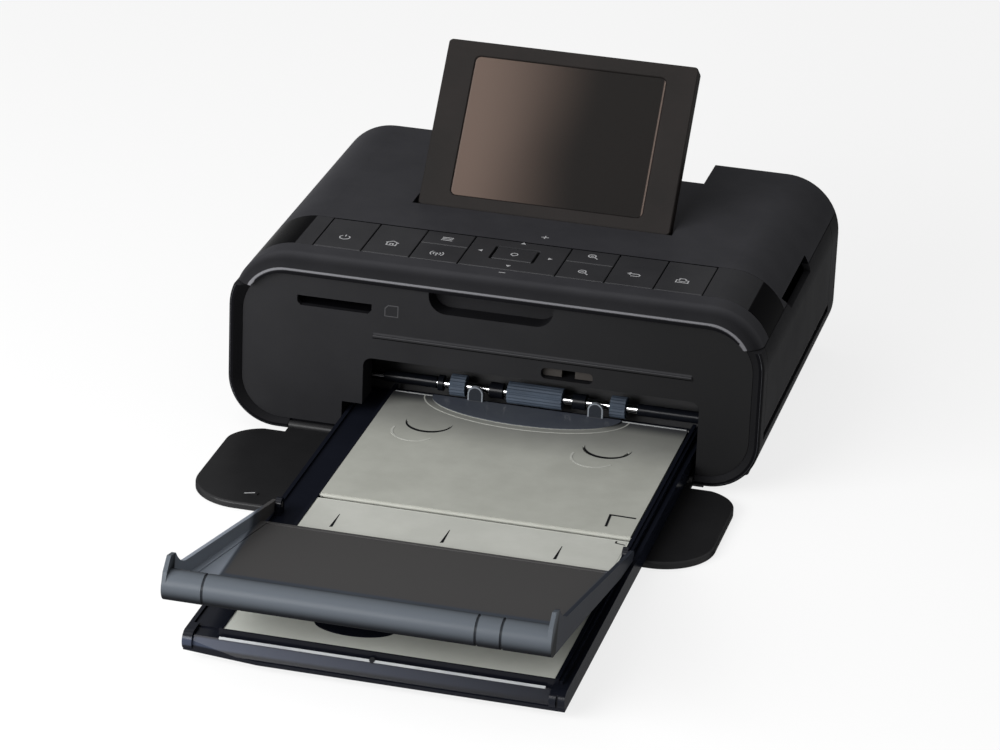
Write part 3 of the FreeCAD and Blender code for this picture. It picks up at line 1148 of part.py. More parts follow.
def make_cassette_tray():
    """Tray of the paper cassette with its rails, stepped front bar and hinge posts."""
    bar_rear = CASSETTE_FRONT + FRONT_BAR_DEPTH
    step = CASSETTE_FRONT + FRONT_BAR_STEP
    foot = CASSETTE_FRONT + FRONT_BAR_FOOT_SETBACK
    parts = [block(CASSETTE_LEFT, CASSETTE_RIGHT, foot, CASSETTE_REAR, CASSETTE_BOTTOM, PAPER_BOTTOM)]
    for x0, x1, top in cassette_walls():
        parts.append(block(x0, x1, step, CASSETTE_REAR, CASSETTE_BOTTOM, top))
    for x0, x1 in ((CASSETTE_LEFT, INNER_LEFT), (INNER_RIGHT, CASSETTE_RIGHT)):
        parts.append(block(x0, x1, bar_rear - FIT, CASSETTE_REAR, TRAY_LEDGE_TOP - TRAY_LEDGE_THICKNESS,
                           TRAY_LEDGE_TOP))
    parts.append(block(INNER_LEFT, INNER_RIGHT, CASSETTE_REAR - TRAY_WALL, CASSETTE_REAR, CASSETTE_BOTTOM,
                       TRAY_REAR_TOP))
    brow = CASSETTE_FRONT + FRONT_BAR_BROW_SETBACK
    bar = prism_x([(foot, CASSETTE_BOTTOM), (brow, FRONT_BAR_TOP), (bar_rear, FRONT_BAR_TOP),
                   (bar_rear, CASSETTE_BOTTOM)], CASSETTE_LEFT, CASSETTE_RIGHT)
    bow = prism_z([(CASSETTE_LEFT, CASSETTE_FRONT), (CASSETTE_LEFT + FRONT_BAR_BOW_REACH, CASSETTE_FRONT),
                   (CASSETTE_LEFT + FRONT_BAR_BOW_REACH, foot),
                   (CASSETTE_LEFT, CASSETTE_FRONT + FRONT_BAR_BOW_SETBACK)], 0, FRONT_BAR_TOP)
    upper = block(INNER_LEFT - TRAY_INNER_WALL, INNER_RIGHT + TRAY_INNER_WALL, step, bar_rear,
                  CASSETTE_BOTTOM, DECK_TOP)
    radius = (TRAY_OUTER_TOP - CASSETTE_BOTTOM) / 2
    noses = []
    left_nose = (CASSETTE_LEFT, CASSETTE_LEFT + LEFT_NOSE_WIDTH, CASSETTE_FRONT + LEFT_NOSE_SETBACK)
    right_nose = (CASSETTE_RIGHT - RIGHT_NOSE_WIDTH, CASSETTE_RIGHT, CASSETTE_FRONT)
    for x0, x1, front in (left_nose, right_nose):
        noses.append(rod_x(x0, x1, front + radius, CASSETTE_BOTTOM + radius, radius))
        noses.append(block(x0, x1, front + radius, bar_rear, CASSETTE_BOTTOM, TRAY_OUTER_TOP))
    parts = [part.cut(bow) for part in parts] + [bar.cut(bow), upper] + noses
    for x0, x1 in lid_post_spans():
        parts.append(block(x0, x1, LID_HINGE_Y - LID_POST_RADIUS, LID_HINGE_Y + LID_POST_RADIUS,
                           TRAY_LEDGE_TOP - FIT,
                           LID_HINGE_Z))
        parts.append(rod_x(x0, x1, LID_HINGE_Y, LID_HINGE_Z, LID_POST_RADIUS))
    tray = fuse_all(parts)
    groove = CASSETTE_RIGHT - NOSE_GROOVE_INSET
    tray = tray.cut(block(groove - NOSE_GROOVE_WIDTH, groove, CASSETTE_FRONT, foot, CASSETTE_BOTTOM,
                          TRAY_OUTER_TOP))
    deck = block(INNER_LEFT, INNER_RIGHT, CASSETTE_FRONT + DECK_SETBACK, DECK_REAR,
                 DECK_TOP - DECK_THICKNESS, DECK_TOP)
    tray = tray.cut(deck)
    for x0, x1 in lid_post_spans():
        tray = tray.cut(rod_x(x0 - FIT, x1 + FIT, LID_HINGE_Y, LID_HINGE_Z, LID_PIN_RADIUS + RUNNING))
    depth = COVER_PIN_REACH + FIT
    for x0, x1 in ((INNER_LEFT - depth, INNER_LEFT), (INNER_RIGHT, INNER_RIGHT + depth)):
        tray = tray.cut(rod_x(x0, x1, COVER_HINGE_Y, COVER_HINGE_Z, COVER_PIN_RADIUS + RUNNING))
    save("cassette_tray", [tray.removeSplitter()])
    save("paper_stack", [block(PAPER_LEFT, PAPER_RIGHT, PAPER_FRONT, PAPER_REAR, PAPER_BOTTOM, PAPER_TOP)])
    save("front_deck", [deck])


def make_inner_cover():
    """Grey cover over the paper with its fingers, slits and front hinge."""
    low = COVER_TOP - COVER_THICKNESS
    cover = block(INNER_LEFT + SEAM_GAP, INNER_RIGHT - SEAM_GAP, COVER_HINGE_Y, COVER_REAR, low, COVER_TOP)
    parts = [cover, rod_x(INNER_LEFT + SEAM_GAP, INNER_RIGHT - SEAM_GAP, COVER_HINGE_Y,
                          COVER_HINGE_Z, COVER_BARREL_RADIUS)]
    parts.append(rod_x(INNER_LEFT - COVER_PIN_REACH, INNER_RIGHT + COVER_PIN_REACH, COVER_HINGE_Y,
                       COVER_HINGE_Z, COVER_PIN_RADIUS))
    middle = FINGER_TOP - FINGER_RADIUS
    centre = COVER_REAR
    for x in FINGER_XS:
        parts.append(rod_y(centre - FINGER_THICKNESS, centre, x, middle, FINGER_RADIUS))
        parts.append(block(x - FINGER_RADIUS, x + FINGER_RADIUS, centre - FINGER_THICKNESS, centre, low,
                           middle))
    rim = Part.Ellipse(vec((TAB_LEFT + TAB_RIGHT) / 2, COVER_REAR, COVER_TOP - FIT),
                       (TAB_RIGHT - TAB_LEFT) / 2,
                       TAB_DEPTH).toShape()
    tab = Part.Face(Part.Wire(rim)).extrude(vec(0, 0, TAB_RISE + FIT))
    parts.append(tab.common(block(TAB_LEFT, TAB_RIGHT, COVER_HINGE_Y, COVER_REAR, low, KEY_TOP)))
    cover = fuse_all(parts)
    slit_xs = (PAPER_LEFT + COVER_SLIT_LEFT_INSET, PAPER_RIGHT - COVER_SLIT_RIGHT_INSET)
    for x, y in zip(slit_xs, COVER_SLIT_YS):
        ring = rod_z(low - OVERRUN, COVER_TOP + OVERRUN, x, y, COVER_SLIT_INNER + COVER_SLIT_WIDTH)
        ring = ring.cut(rod_z(low - OVERRUN, COVER_TOP + OVERRUN, x, y, COVER_SLIT_INNER))
        spread = COVER_SLIT_INNER * COVER_SLIT_SPREAD_SHARE
        ring = ring.cut(block(x - BODY_WIDTH, x + BODY_WIDTH, y - spread, y + BODY_WIDTH, 0, BODY_TOP))
        cover = cover.cut(ring)
    save("inner_cover", [cover.removeSplitter()])


def lid_point(s, n):
    """Point of the level lid: distance in front of its hinge, height above the hinge line."""
    return (LID_HINGE_Y - s, LID_HINGE_Z + n)


def lid_plate_drop(s):
    """Depth of the lid plate's top under the hinge line at a distance in front of it."""
    share = (s - LID_PLATE_START) / (LID_LENGTH - LID_PLATE_START)
    return LID_PLATE_REAR_DROP + share * (LID_PLATE_FRONT_DROP - LID_PLATE_REAR_DROP)


def make_output_lid():
    """Smoked lid over the cassette's front: sunken plate, side walls, ears and curled front edge."""
    length = LID_LENGTH
    roll_y, roll_z = lid_point(length, -LID_ROLL_DROP)
    plate_foot = -LID_PLATE_FRONT_DROP - LID_PLATE
    start_foot = lid_point(LID_PLATE_START, -LID_PLATE_REAR_DROP - LID_PLATE)
    plate = prism_x([lid_point(LID_PLATE_START, -LID_PLATE_REAR_DROP),
                     lid_point(length, -LID_PLATE_FRONT_DROP),
                     lid_point(length, plate_foot), start_foot], LID_LEFT, LID_RIGHT)
    rear = LID_WINDOW_REAR
    front = length - LID_WINDOW_FRONT
    window = prism_x([lid_point(rear, OVERRUN), lid_point(front, OVERRUN),
                      lid_point(front, -lid_plate_drop(front) - LID_WINDOW_DEPTH),
                      lid_point(rear, -lid_plate_drop(rear) - LID_WINDOW_DEPTH)],
                     LID_LEFT + LID_WINDOW_MARGIN, LID_RIGHT - LID_WINDOW_MARGIN)
    roll = tube_x(LID_LEFT, LID_RIGHT, roll_y, roll_z, LID_ROLL_RADIUS, LID_ROLL_RADIUS - LID_ROLL_WALL)
    roll = roll.cut(block(LID_LEFT - OVERRUN, LID_RIGHT + OVERRUN, roll_y + LID_ROLL_WALL,
                          roll_y + 2 * LID_ROLL_RADIUS, roll_z - 2 * LID_ROLL_RADIUS,
                          lid_point(length, plate_foot)[1]))
    groove_xs = [LID_LEFT + LID_GROOVE_LEFT_INSET] + [LID_RIGHT - inset for inset in LID_GROOVE_RIGHT_INSETS]
    grooves = [tube_x(x - LID_GROOVE_WIDTH / 2, x + LID_GROOVE_WIDTH / 2, roll_y, roll_z,
                      LID_ROLL_RADIUS + OVERRUN, LID_ROLL_RADIUS - LID_GROOVE_DEPTH) for x in groove_xs]
    roll = cut_all(roll, grooves)
    valley = length - LID_EAR_REACH
    side = [lid_point(0, LID_SIDE_START_RISE), lid_point(valley, LID_SIDE_TOP),
            lid_point(valley, LID_EAR_TIP),
            lid_point(length + LID_EAR_TIP_AHEAD, LID_EAR_TIP),
            lid_point(length + LID_EAR_BROW_AHEAD, LID_EAR_BROW_RISE),
            lid_point(length + LID_ROLL_RADIUS, -LID_ROLL_DROP),
            lid_point(length, -LID_ROLL_DROP - LID_ROLL_RADIUS),
            lid_point(length * LID_SIDE_FOOT_SHARE, -LID_SIDE_FOOT_DROP), start_foot,
            lid_point(0, -LID_SIDE_START_DROP)]
    hollow_y, hollow_z = lid_point(valley, LID_SIDE_TOP + LID_EAR_CURVE)
    parts = [plate.cut(window), roll]
    for x0, x1 in ((LID_LEFT, LID_LEFT + LID_SIDE_WALL), (LID_RIGHT - LID_SIDE_WALL, LID_RIGHT)):
        wall = prism_x(side, x0, x1).cut(rod_x(x0 - OVERRUN, x1 + OVERRUN, hollow_y, hollow_z,
                                               LID_EAR_CURVE))
        wall = fuse_all([wall, rod_x(x0, x1, roll_y, roll_z, LID_ROLL_RADIUS),
                         rod_x(x0, x1, LID_HINGE_Y, LID_HINGE_Z, LID_END_RADIUS)])
        parts.append(wall)
    (left0, left1), (right0, right1) = lid_post_spans()
    parts.append(rod_x(LID_LEFT, left1, LID_HINGE_Y, LID_HINGE_Z, LID_PIN_RADIUS))
    parts.append(rod_x(right0, LID_RIGHT, LID_HINGE_Y, LID_HINGE_Z, LID_PIN_RADIUS))
    lid = fuse_all(parts)
    lid.rotate(vec(0, LID_HINGE_Y, LID_HINGE_Z), vec(1, 0, 0), -LID_ANGLE)
    save("output_lid", [lid])


# Drive train

def gear(teeth, x0, x1, y, z, phase):
    """Spur gear about X with one tooth's middle at the phase angle."""
    radius = pitch_radius(teeth)
    half = math.pi / (2 * teeth)
    profile = ((-TOOTH_ROOT_SHARE, radius - TOOTH_DEDENDUM), (-TOOTH_PITCH_SHARE, radius),
               (-TOOTH_TIP_SHARE, radius + TOOTH_ADDENDUM), (TOOTH_TIP_SHARE, radius + TOOTH_ADDENDUM),
               (TOOTH_PITCH_SHARE, radius), (TOOTH_ROOT_SHARE, radius - TOOTH_DEDENDUM))
    points = []
    for index in range(teeth):
        middle = phase + 2 * math.pi * index / teeth
        for share, reach in profile:
            angle = middle + share * half
            points.append((y + reach * math.cos(angle), z + reach * math.sin(angle)))
    return prism_x(points, x0, x1)


def meshing_phase(teeth, phase, other_teeth, direction):
    """Phase of the gear that a first gear drives, the direction running from the first to the other."""
    return direction + math.pi + math.pi / other_teeth - (phase - direction) * teeth / other_teeth


PICKUP_DIRECTION = math.atan2(PICKUP_Z - FEED_Z, PICKUP_Y - FEED_Y)
PICKUP_PHASE = meshing_phase(FEED_TEETH, 0, PICKUP_TEETH, PICKUP_DIRECTION)
REDUCTION_PHASE = meshing_phase(FEED_TEETH, 0, REDUCTION_SMALL_TEETH, REDUCTION_ANGLE * DEGREES)
PINION_PHASE = meshing_phase(REDUCTION_LARGE_TEETH, REDUCTION_PHASE, PINION_TEETH, 0)


def make_drive():
    """Gears, rollers and motor."""
    small0 = SMALL_LAYER_X
    small1 = SMALL_LAYER_X + GEAR_WIDTH
    large0 = LARGE_LAYER_X
    large1 = LARGE_LAYER_X + GEAR_WIDTH
    tail = small0 - SHAFT_TAIL
    right_end = RIGHT_PLATE_X + PLATE_THICKNESS
    shaft = rod_x(tail, right_end, PICKUP_Y, PICKUP_Z, PICKUP_SHAFT_RADIUS)
    save("pickup_shaft", [shaft])
    wheel = gear(PICKUP_TEETH, small0, small1, PICKUP_Y, PICKUP_Z, PICKUP_PHASE).cut(shaft)
    save("pickup_gear", [wheel])
    sleeves = [tube_x(OPENING_LEFT + BEVEL_INSET, PICKUP_SLEEVE_LEFT_END, PICKUP_Y, PICKUP_Z,
                      PICKUP_SLEEVE_RADIUS,
                      PICKUP_SHAFT_RADIUS),
               tube_x(PICKUP_SLEEVE_RIGHT_START, OPENING_RIGHT - BEVEL_INSET, PICKUP_Y, PICKUP_Z,
                      PICKUP_SLEEVE_RADIUS, PICKUP_SHAFT_RADIUS)]
    for x, width in PICKUP_COLLARS:
        sleeves.append(tube_x(x, x + width, PICKUP_Y, PICKUP_Z, PICKUP_COLLAR_RADIUS, PICKUP_SHAFT_RADIUS))
    save("pickup_sleeves", sleeves)
    rollers = []
    for x, width in PICKUP_ROLLERS:
        half = math.pi / (2 * PICKUP_RIBS)
        points = []
        for index in range(PICKUP_RIBS):
            middle = 2 * math.pi * index / PICKUP_RIBS
            for share, reach in ((-PICKUP_RIB_ROOT_SHARE, PICKUP_RADIUS - PICKUP_RIB_DEPTH),
                                 (-PICKUP_RIB_TIP_SHARE, PICKUP_RADIUS),
                                 (PICKUP_RIB_TIP_SHARE, PICKUP_RADIUS),
                                 (PICKUP_RIB_ROOT_SHARE, PICKUP_RADIUS - PICKUP_RIB_DEPTH)):
                angle = middle + share * half
                points.append((PICKUP_Y + reach * math.cos(angle), PICKUP_Z + reach * math.sin(angle)))
        rollers.append(prism_x(points, x, x + width).cut(shaft))
    save("pickup_rollers", rollers)
    feed_shaft = rod_x(tail, right_end, FEED_Y, FEED_Z, FEED_SHAFT_RADIUS)
    feed = rod_x(ROLLER_LEFT, ROLLER_RIGHT, FEED_Y, FEED_Z, FEED_RADIUS)
    save("feed_roller", [fuse_all([feed, feed_shaft])])
    save("feed_gear", [gear(FEED_TEETH, small0, small1, FEED_Y, FEED_Z, 0).cut(feed_shaft)])
    pinch = fuse_all([rod_x(ROLLER_LEFT, ROLLER_RIGHT, FEED_Y, PINCH_Z, PINCH_RADIUS),
                      rod_x(LEFT_PLATE_X, right_end, FEED_Y, PINCH_Z, PINCH_SHAFT_RADIUS)])
    save("pinch_roller", [pinch])
    platen = fuse_all([rod_x(ROLLER_LEFT, ROLLER_RIGHT, PLATEN_Y, PLATEN_Z, PLATEN_RADIUS),
                       rod_x(LEFT_PLATE_X, right_end, PLATEN_Y, PLATEN_Z, PLATEN_SHAFT_RADIUS)])
    save("platen_roller", [platen])
    reduction = fuse_all([gear(REDUCTION_SMALL_TEETH, large1, small1, REDUCTION_Y, REDUCTION_Z,
                               REDUCTION_PHASE),
                          gear(REDUCTION_LARGE_TEETH, large0, large1, REDUCTION_Y, REDUCTION_Z,
                               REDUCTION_PHASE)])
    reduction = reduction.cut(rod_x(large0 - OVERRUN, small1 + OVERRUN, REDUCTION_Y, REDUCTION_Z,
                                    AXLE_RADIUS + RUNNING))
    save("reduction_gear", [reduction])
    pinion = gear(PINION_TEETH, large0, large1, MOTOR_Y, MOTOR_Z, PINION_PHASE)
    motor_face = LEFT_PLATE_X + PLATE_THICKNESS
    pinion = pinion.fuse(rod_x(large1, motor_face + MOTOR_BOSS, MOTOR_Y, MOTOR_Z, MOTOR_SHAFT_RADIUS))
    save("motor_pinion", [pinion.removeSplitter()])
    motor = rod_x(motor_face, motor_face + MOTOR_LENGTH, MOTOR_Y, MOTOR_Z, MOTOR_RADIUS)
    motor = motor.fuse(rod_x(LEFT_PLATE_X, motor_face, MOTOR_Y, MOTOR_Z, MOTOR_BOSS_RADIUS))
    motor = motor.cut(rod_x(LEFT_PLATE_X - OVERRUN, motor_face + MOTOR_BOSS + FIT, MOTOR_Y, MOTOR_Z,
                            MOTOR_SHAFT_RADIUS + RUNNING))
    save("motor", [motor.removeSplitter()])


# Side plates, bushes and rear bracket

def roller_shafts():
    """Middle and radius of every shaft that runs in the side plates."""
    return [(PICKUP_Y, PICKUP_Z, PICKUP_SHAFT_RADIUS), (FEED_Y, FEED_Z, FEED_SHAFT_RADIUS),
            (FEED_Y, PINCH_Z, PINCH_SHAFT_RADIUS), (PLATEN_Y, PLATEN_Z, PLATEN_SHAFT_RADIUS)]


def side_plate(x0, inward, flange_front):
    """Upright plate with a foot flange, a top flange and holes for the bushes and the arm."""
    x1 = x0 + PLATE_THICKNESS
    reach0, reach1 = (x1, x1 + PLATE_FLANGE) if inward > 0 else (x0 - PLATE_FLANGE, x0)
    parts = [block(x0, x1, PLATE_FRONT, PLATE_REAR, FLOOR_TOP, MAIN_BOARD_Z),
             block(min(reach0, x0), max(reach1, x1), BAY_DEPTH, PLATE_REAR, FLOOR_TOP,
                   FLOOR_TOP + PLATE_THICKNESS),
             block(min(reach0, x0), max(reach1, x1), flange_front, PLATE_FLANGE_REAR,
                   MAIN_BOARD_Z - PLATE_THICKNESS,
                   MAIN_BOARD_Z)]
    plate = fuse_all(parts)
    for y, z, radius in roller_shafts():
        plate = plate.cut(rod_x(x0 - OVERRUN, x1 + OVERRUN, y, z, BUSH_RADIUS))
    plate = plate.cut(rod_x(x0 - OVERRUN, x1 + OVERRUN, ARM_AXIS_Y, ARM_AXIS_Z, ARM_SHAFT_RADIUS + RUNNING))
    for x, y in plate_screw_places():
        plate = plate.cut(rod_z(FLOOR_TOP - OVERRUN, FLOOR_TOP + PLATE_THICKNESS + OVERRUN, x, y,
                                SCREW_RADIUS))
    return plate.common(body_block(WALL + FIT, 0, BODY_DEPTH))


def make_plates():
    """Both side plates, their bushes and the rear bracket."""
    left = side_plate(LEFT_PLATE_X, 1, LEFT_FLANGE_FRONT)
    left = left.cut(rod_x(LEFT_PLATE_X - OVERRUN, LEFT_PLATE_X + PLATE_THICKNESS + OVERRUN, MOTOR_Y, MOTOR_Z,
                          MOTOR_BOSS_RADIUS))
    left = left.fuse(rod_x(LARGE_LAYER_X - PLATE_CLEAR, LEFT_PLATE_X + FIT, REDUCTION_Y, REDUCTION_Z,
                           AXLE_RADIUS))
    save("left_plate", [left.removeSplitter()])
    right = side_plate(RIGHT_PLATE_X, -1, PLATE_FRONT)
    x0 = RIGHT_PLATE_X - OVERRUN
    x1 = RIGHT_PLATE_X + PLATE_THICKNESS + OVERRUN
    margin = PLATE_WINDOW_MARGIN
    cuts = [rod_x(x0, x1, SUPPLY_Y, SUPPLY_Z, SUPPLY_HOUSING_RADIUS + margin),
            rod_x(x0, x1, TAKEUP_Y, TAKEUP_Z, TAKEUP_HOUSING_RADIUS + margin),
            block(x0, x1, TAKEUP_Y, SUPPLY_Y, RIBBON_BRIDGE_LOW - margin, RIBBON_BRIDGE_HIGH + margin)]
    save("right_plate", [cut_all(right, cuts).removeSplitter()])
    bushes = []
    for y, z, radius in roller_shafts():
        for x, flange in ((LEFT_PLATE_X, LEFT_PLATE_X + PLATE_THICKNESS),
                          (RIGHT_PLATE_X, RIGHT_PLATE_X - BUSH_FLANGE)):
            bush = rod_x(x, x + PLATE_THICKNESS, y, z, BUSH_RADIUS)
            bush = bush.fuse(rod_x(flange, flange + BUSH_FLANGE, y, z, BUSH_FLANGE_RADIUS))
            bushes.append(bush.cut(rod_x(x - BODY_WIDTH, x + BODY_WIDTH, y, z,
                                         radius + RUNNING)).removeSplitter())
    save("shaft_bushes", bushes)
    bracket = fuse_all([block(LEFT_PLATE_X, RIGHT_PLATE_X + PLATE_THICKNESS, PLATE_REAR,
                              PLATE_REAR + PLATE_THICKNESS,
                              REAR_FRAME_LOW, POWER_BOARD_Z),
                        block(POWER_BOARD_LEFT - REAR_FRAME_MARGIN, RIGHT_PLATE_X, PLATE_REAR,
                              POWER_BOARD_REAR - OVERRUN,
                              POWER_BOARD_Z - PLATE_THICKNESS, POWER_BOARD_Z)])
    save("rear_bracket", [bracket])


def make_paper_guide():
    """Guide that carries the sheet from the ramp over the rollers to the rear slot."""
    top = PAPER_PATH_Z - GUIDE_DROP
    low = top - GUIDE_THICKNESS
    left = ROLLER_LEFT - GUIDE_WINDOW_CLEAR - GUIDE_STRIP
    right = ROLLER_RIGHT + GUIDE_WINDOW_CLEAR + GUIDE_STRIP
    ramp_top = FEED_Y - FEED_RADIUS - 2 * GUIDE_WINDOW_CLEAR
    ramp = prism_x([(GUIDE_FRONT, GUIDE_FOOT_Z), (ramp_top, top), (ramp_top, low - GUIDE_THICKNESS),
                    (GUIDE_FRONT + GUIDE_THICKNESS, GUIDE_FOOT_Z)], left, right)
    parts = [ramp, block(left, right, ramp_top - FIT, GUIDE_REAR, low, top)]
    for y in (GUIDE_LEG_FRONT, GUIDE_LEG_REAR):
        parts.append(block(ROLLER_LEFT, ROLLER_RIGHT - PLATE_FLANGE, y, y + GUIDE_LEG, FLOOR_TOP, low + FIT))
    guide = fuse_all(parts)
    for y, radius in ((FEED_Y, FEED_RADIUS), (PLATEN_Y, PLATEN_RADIUS)):
        guide = guide.cut(block(ROLLER_LEFT - GUIDE_WINDOW_CLEAR, ROLLER_RIGHT + GUIDE_WINDOW_CLEAR,
                                y - radius - GUIDE_WINDOW_CLEAR, y + radius + GUIDE_WINDOW_CLEAR, 0,
                                BODY_TOP))
    save("paper_guide", [guide])


# Thermal head and ribbon

HEAD_BOTTOM = PAPER_PATH_Z + HEAD_GAP
SINK_BOTTOM = HEAD_BOTTOM + HEAD_BAR_THICKNESS
SINK_TOP = SINK_BOTTOM + SINK_HEIGHT
HEAD_REAR = HEAD_BAR_FRONT + HEAD_BAR_LENGTH
SINK_FRONT = HEAD_BAR_FRONT + (HEAD_BAR_LENGTH - SINK_LENGTH) / 2
FILM_TOP = HEAD_BOTTOM - RIBBON_FILM_CLEAR


def make_head():
    """Thermal head, its finned bar and the arm that lifts them."""
    save("thermal_head", [block(HEAD_LEFT, HEAD_RIGHT, HEAD_BAR_FRONT, HEAD_REAR, HEAD_BOTTOM, SINK_BOTTOM)])
    sink = block(HEAD_LEFT, HEAD_RIGHT, SINK_FRONT, SINK_FRONT + SINK_LENGTH, SINK_BOTTOM, SINK_TOP)
    pitch = SINK_LENGTH / (SINK_SLOTS + 1)
    for index in range(SINK_SLOTS):
        middle = SINK_FRONT + (index + 1) * pitch
        sink = sink.cut(block(HEAD_LEFT - OVERRUN, HEAD_RIGHT + OVERRUN, middle - SINK_SLOT_WIDTH / 2,
                              middle + SINK_SLOT_WIDTH / 2, SINK_TOP - SINK_SLOT_DEPTH, SINK_TOP + OVERRUN))
    save("heat_sink", [sink])
    x0 = HEAD_LEFT + ARM_BARREL_RADIUS
    x1 = HEAD_RIGHT - ARM_BARREL_RADIUS
    left_end = LEFT_PLATE_X + PLATE_THICKNESS + MOVE_GAP
    right_end = RIGHT_PLATE_X - MOVE_GAP
    arm = fuse_all([block(x0, x1, ARM_FRONT, ARM_AXIS_Y, ARM_TOP_HEIGHT - ARM_THICKNESS, ARM_TOP_HEIGHT),
                    block(x0, x1, ARM_FRONT, ARM_FRONT + ARM_THICKNESS, SINK_TOP, ARM_TOP_HEIGHT),
                    block(x0, x1, ARM_FRONT, SINK_FRONT + SINK_LENGTH, SINK_TOP, SINK_TOP + ARM_THICKNESS),
                    rod_x(left_end, right_end, ARM_AXIS_Y, ARM_AXIS_Z, ARM_BARREL_RADIUS),
                    rod_x(LEFT_PLATE_X, RIGHT_PLATE_X + PLATE_THICKNESS, ARM_AXIS_Y, ARM_AXIS_Z,
                          ARM_SHAFT_RADIUS)])
    save("head_arm", [arm])


def tangent_point(y, z, centre_y, centre_z, radius, side):
    """Where a line from a point touches a circle, on one side."""
    distance = math.hypot(centre_y - y, centre_z - z)
    heading = math.atan2(centre_z - z, centre_y - y)
    swing = side * math.acos(radius / distance)
    angle = heading + math.pi - swing
    return (centre_y + radius * math.cos(angle), centre_z + radius * math.sin(angle))


def film_span(start, end, below, above, x0, x1):
    """Strip along a line from one point to another, by its depths below and above the line."""
    length = math.hypot(end[0] - start[0], end[1] - start[1])
    normal_y = -(end[1] - start[1]) / length
    normal_z = (end[0] - start[0]) / length
    points = [(start[0] - below * normal_y, start[1] - below * normal_z),
              (end[0] - below * normal_y, end[1] - below * normal_z),
              (end[0] + above * normal_y, end[1] + above * normal_z),
              (start[0] + above * normal_y, start[1] + above * normal_z)]
    return prism_x(points, x0, x1)


def make_ribbon():
    """Ribbon cassette, its two spools and the film between them."""
    low = FILM_TOP - RIBBON_FILM
    front = (HEAD_BAR_FRONT - FILM_LEAD, low)
    rear = (HEAD_REAR + 2 * FIT, low)
    takeup_touch = tangent_point(front[0], front[1], TAKEUP_Y, TAKEUP_Z, TAKEUP_ROLL_RADIUS + RUNNING, -1)
    supply_touch = tangent_point(rear[0], rear[1], SUPPLY_Y, SUPPLY_Z,
                                 SUPPLY_ROLL_RADIUS + RIBBON_FILM + RUNNING, -1)
    film0 = RIBBON_LEFT + RIBBON_FILM_MARGIN
    film1 = RIBBON_RIGHT - RIBBON_FILM_MARGIN
    film = fuse_all([film_span(takeup_touch, front, 0, RIBBON_FILM, film0, film1),
                     film_span(front, rear, 0, RIBBON_FILM, film0, film1),
                     film_span(rear, supply_touch, 0, RIBBON_FILM, film0, film1)])
    save("ink_ribbon", [film])
    inner0 = RIBBON_LEFT + RIBBON_END_WALL
    inner1 = RIBBON_RIGHT - RIBBON_END_WALL
    takeup_tube = tube_x(inner0 - FIT, inner1 + FIT, TAKEUP_Y, TAKEUP_Z, TAKEUP_HOUSING_RADIUS,
                         TAKEUP_HOUSING_RADIUS - HOUSING_WALL)
    takeup_tube = takeup_tube.cut(film_span(takeup_touch, front, RIBBON_SLOT / 2, RIBBON_SLOT / 2, inner0,
                                            inner1))
    supply_tube = tube_x(inner0 - FIT, inner1 + FIT, SUPPLY_Y, SUPPLY_Z, SUPPLY_HOUSING_RADIUS,
                         SUPPLY_HOUSING_RADIUS - HOUSING_WALL)
    supply_tube = supply_tube.cut(film_span(rear, supply_touch, RIBBON_SLOT / 2, RIBBON_SLOT / 2, inner0,
                                            inner1))
    parts = [takeup_tube, supply_tube]
    for x0, x1 in ((RIBBON_LEFT, inner0), (inner1, RIBBON_RIGHT)):
        parts.append(rod_x(x0, x1, TAKEUP_Y, TAKEUP_Z, TAKEUP_HOUSING_RADIUS))
        parts.append(rod_x(x0, x1, SUPPLY_Y, SUPPLY_Z, SUPPLY_HOUSING_RADIUS))
        parts.append(block(x0, x1, TAKEUP_Y, SUPPLY_Y, RIBBON_BRIDGE_LOW, RIBBON_BRIDGE_HIGH))
    middle_y = (TAKEUP_Y + SUPPLY_Y) / 2
    middle_z = (RIBBON_BRIDGE_LOW + RIBBON_BRIDGE_HIGH) / 2
    parts.append(block(RIBBON_RIGHT - FIT, RIBBON_RIGHT + RIBBON_HANDLE_REACH,
                       middle_y - RIBBON_HANDLE_WIDTH / 2,
                       middle_y + RIBBON_HANDLE_WIDTH / 2, middle_z - RIBBON_HANDLE_THICKNESS / 2,
                       middle_z + RIBBON_HANDLE_THICKNESS / 2))
    housing = fuse_all(parts)
    for y, z in ((TAKEUP_Y, TAKEUP_Z), (SUPPLY_Y, SUPPLY_Z)):
        housing = housing.cut(rod_x(RIBBON_LEFT - OVERRUN, RIBBON_RIGHT + OVERRUN, y, z,
                                    SPOOL_BORE_RADIUS + RUNNING))
    save("ribbon_cassette", [housing])
    for name, y, z, roll in (("take_up_spool", TAKEUP_Y, TAKEUP_Z, TAKEUP_ROLL_RADIUS),
                             ("supply_spool", SUPPLY_Y, SUPPLY_Z, SUPPLY_ROLL_RADIUS)):
        spool = fuse_all([rod_x(inner0 + MOVE_GAP, inner1 - MOVE_GAP, y, z, SPOOL_CORE_RADIUS),
                          rod_x(film0, film1, y, z, roll),
                          rod_x(RIBBON_LEFT, RIBBON_RIGHT, y, z, SPOOL_BORE_RADIUS)])
        save(name, [spool])


# Boards, connectors, fan, feet and screws

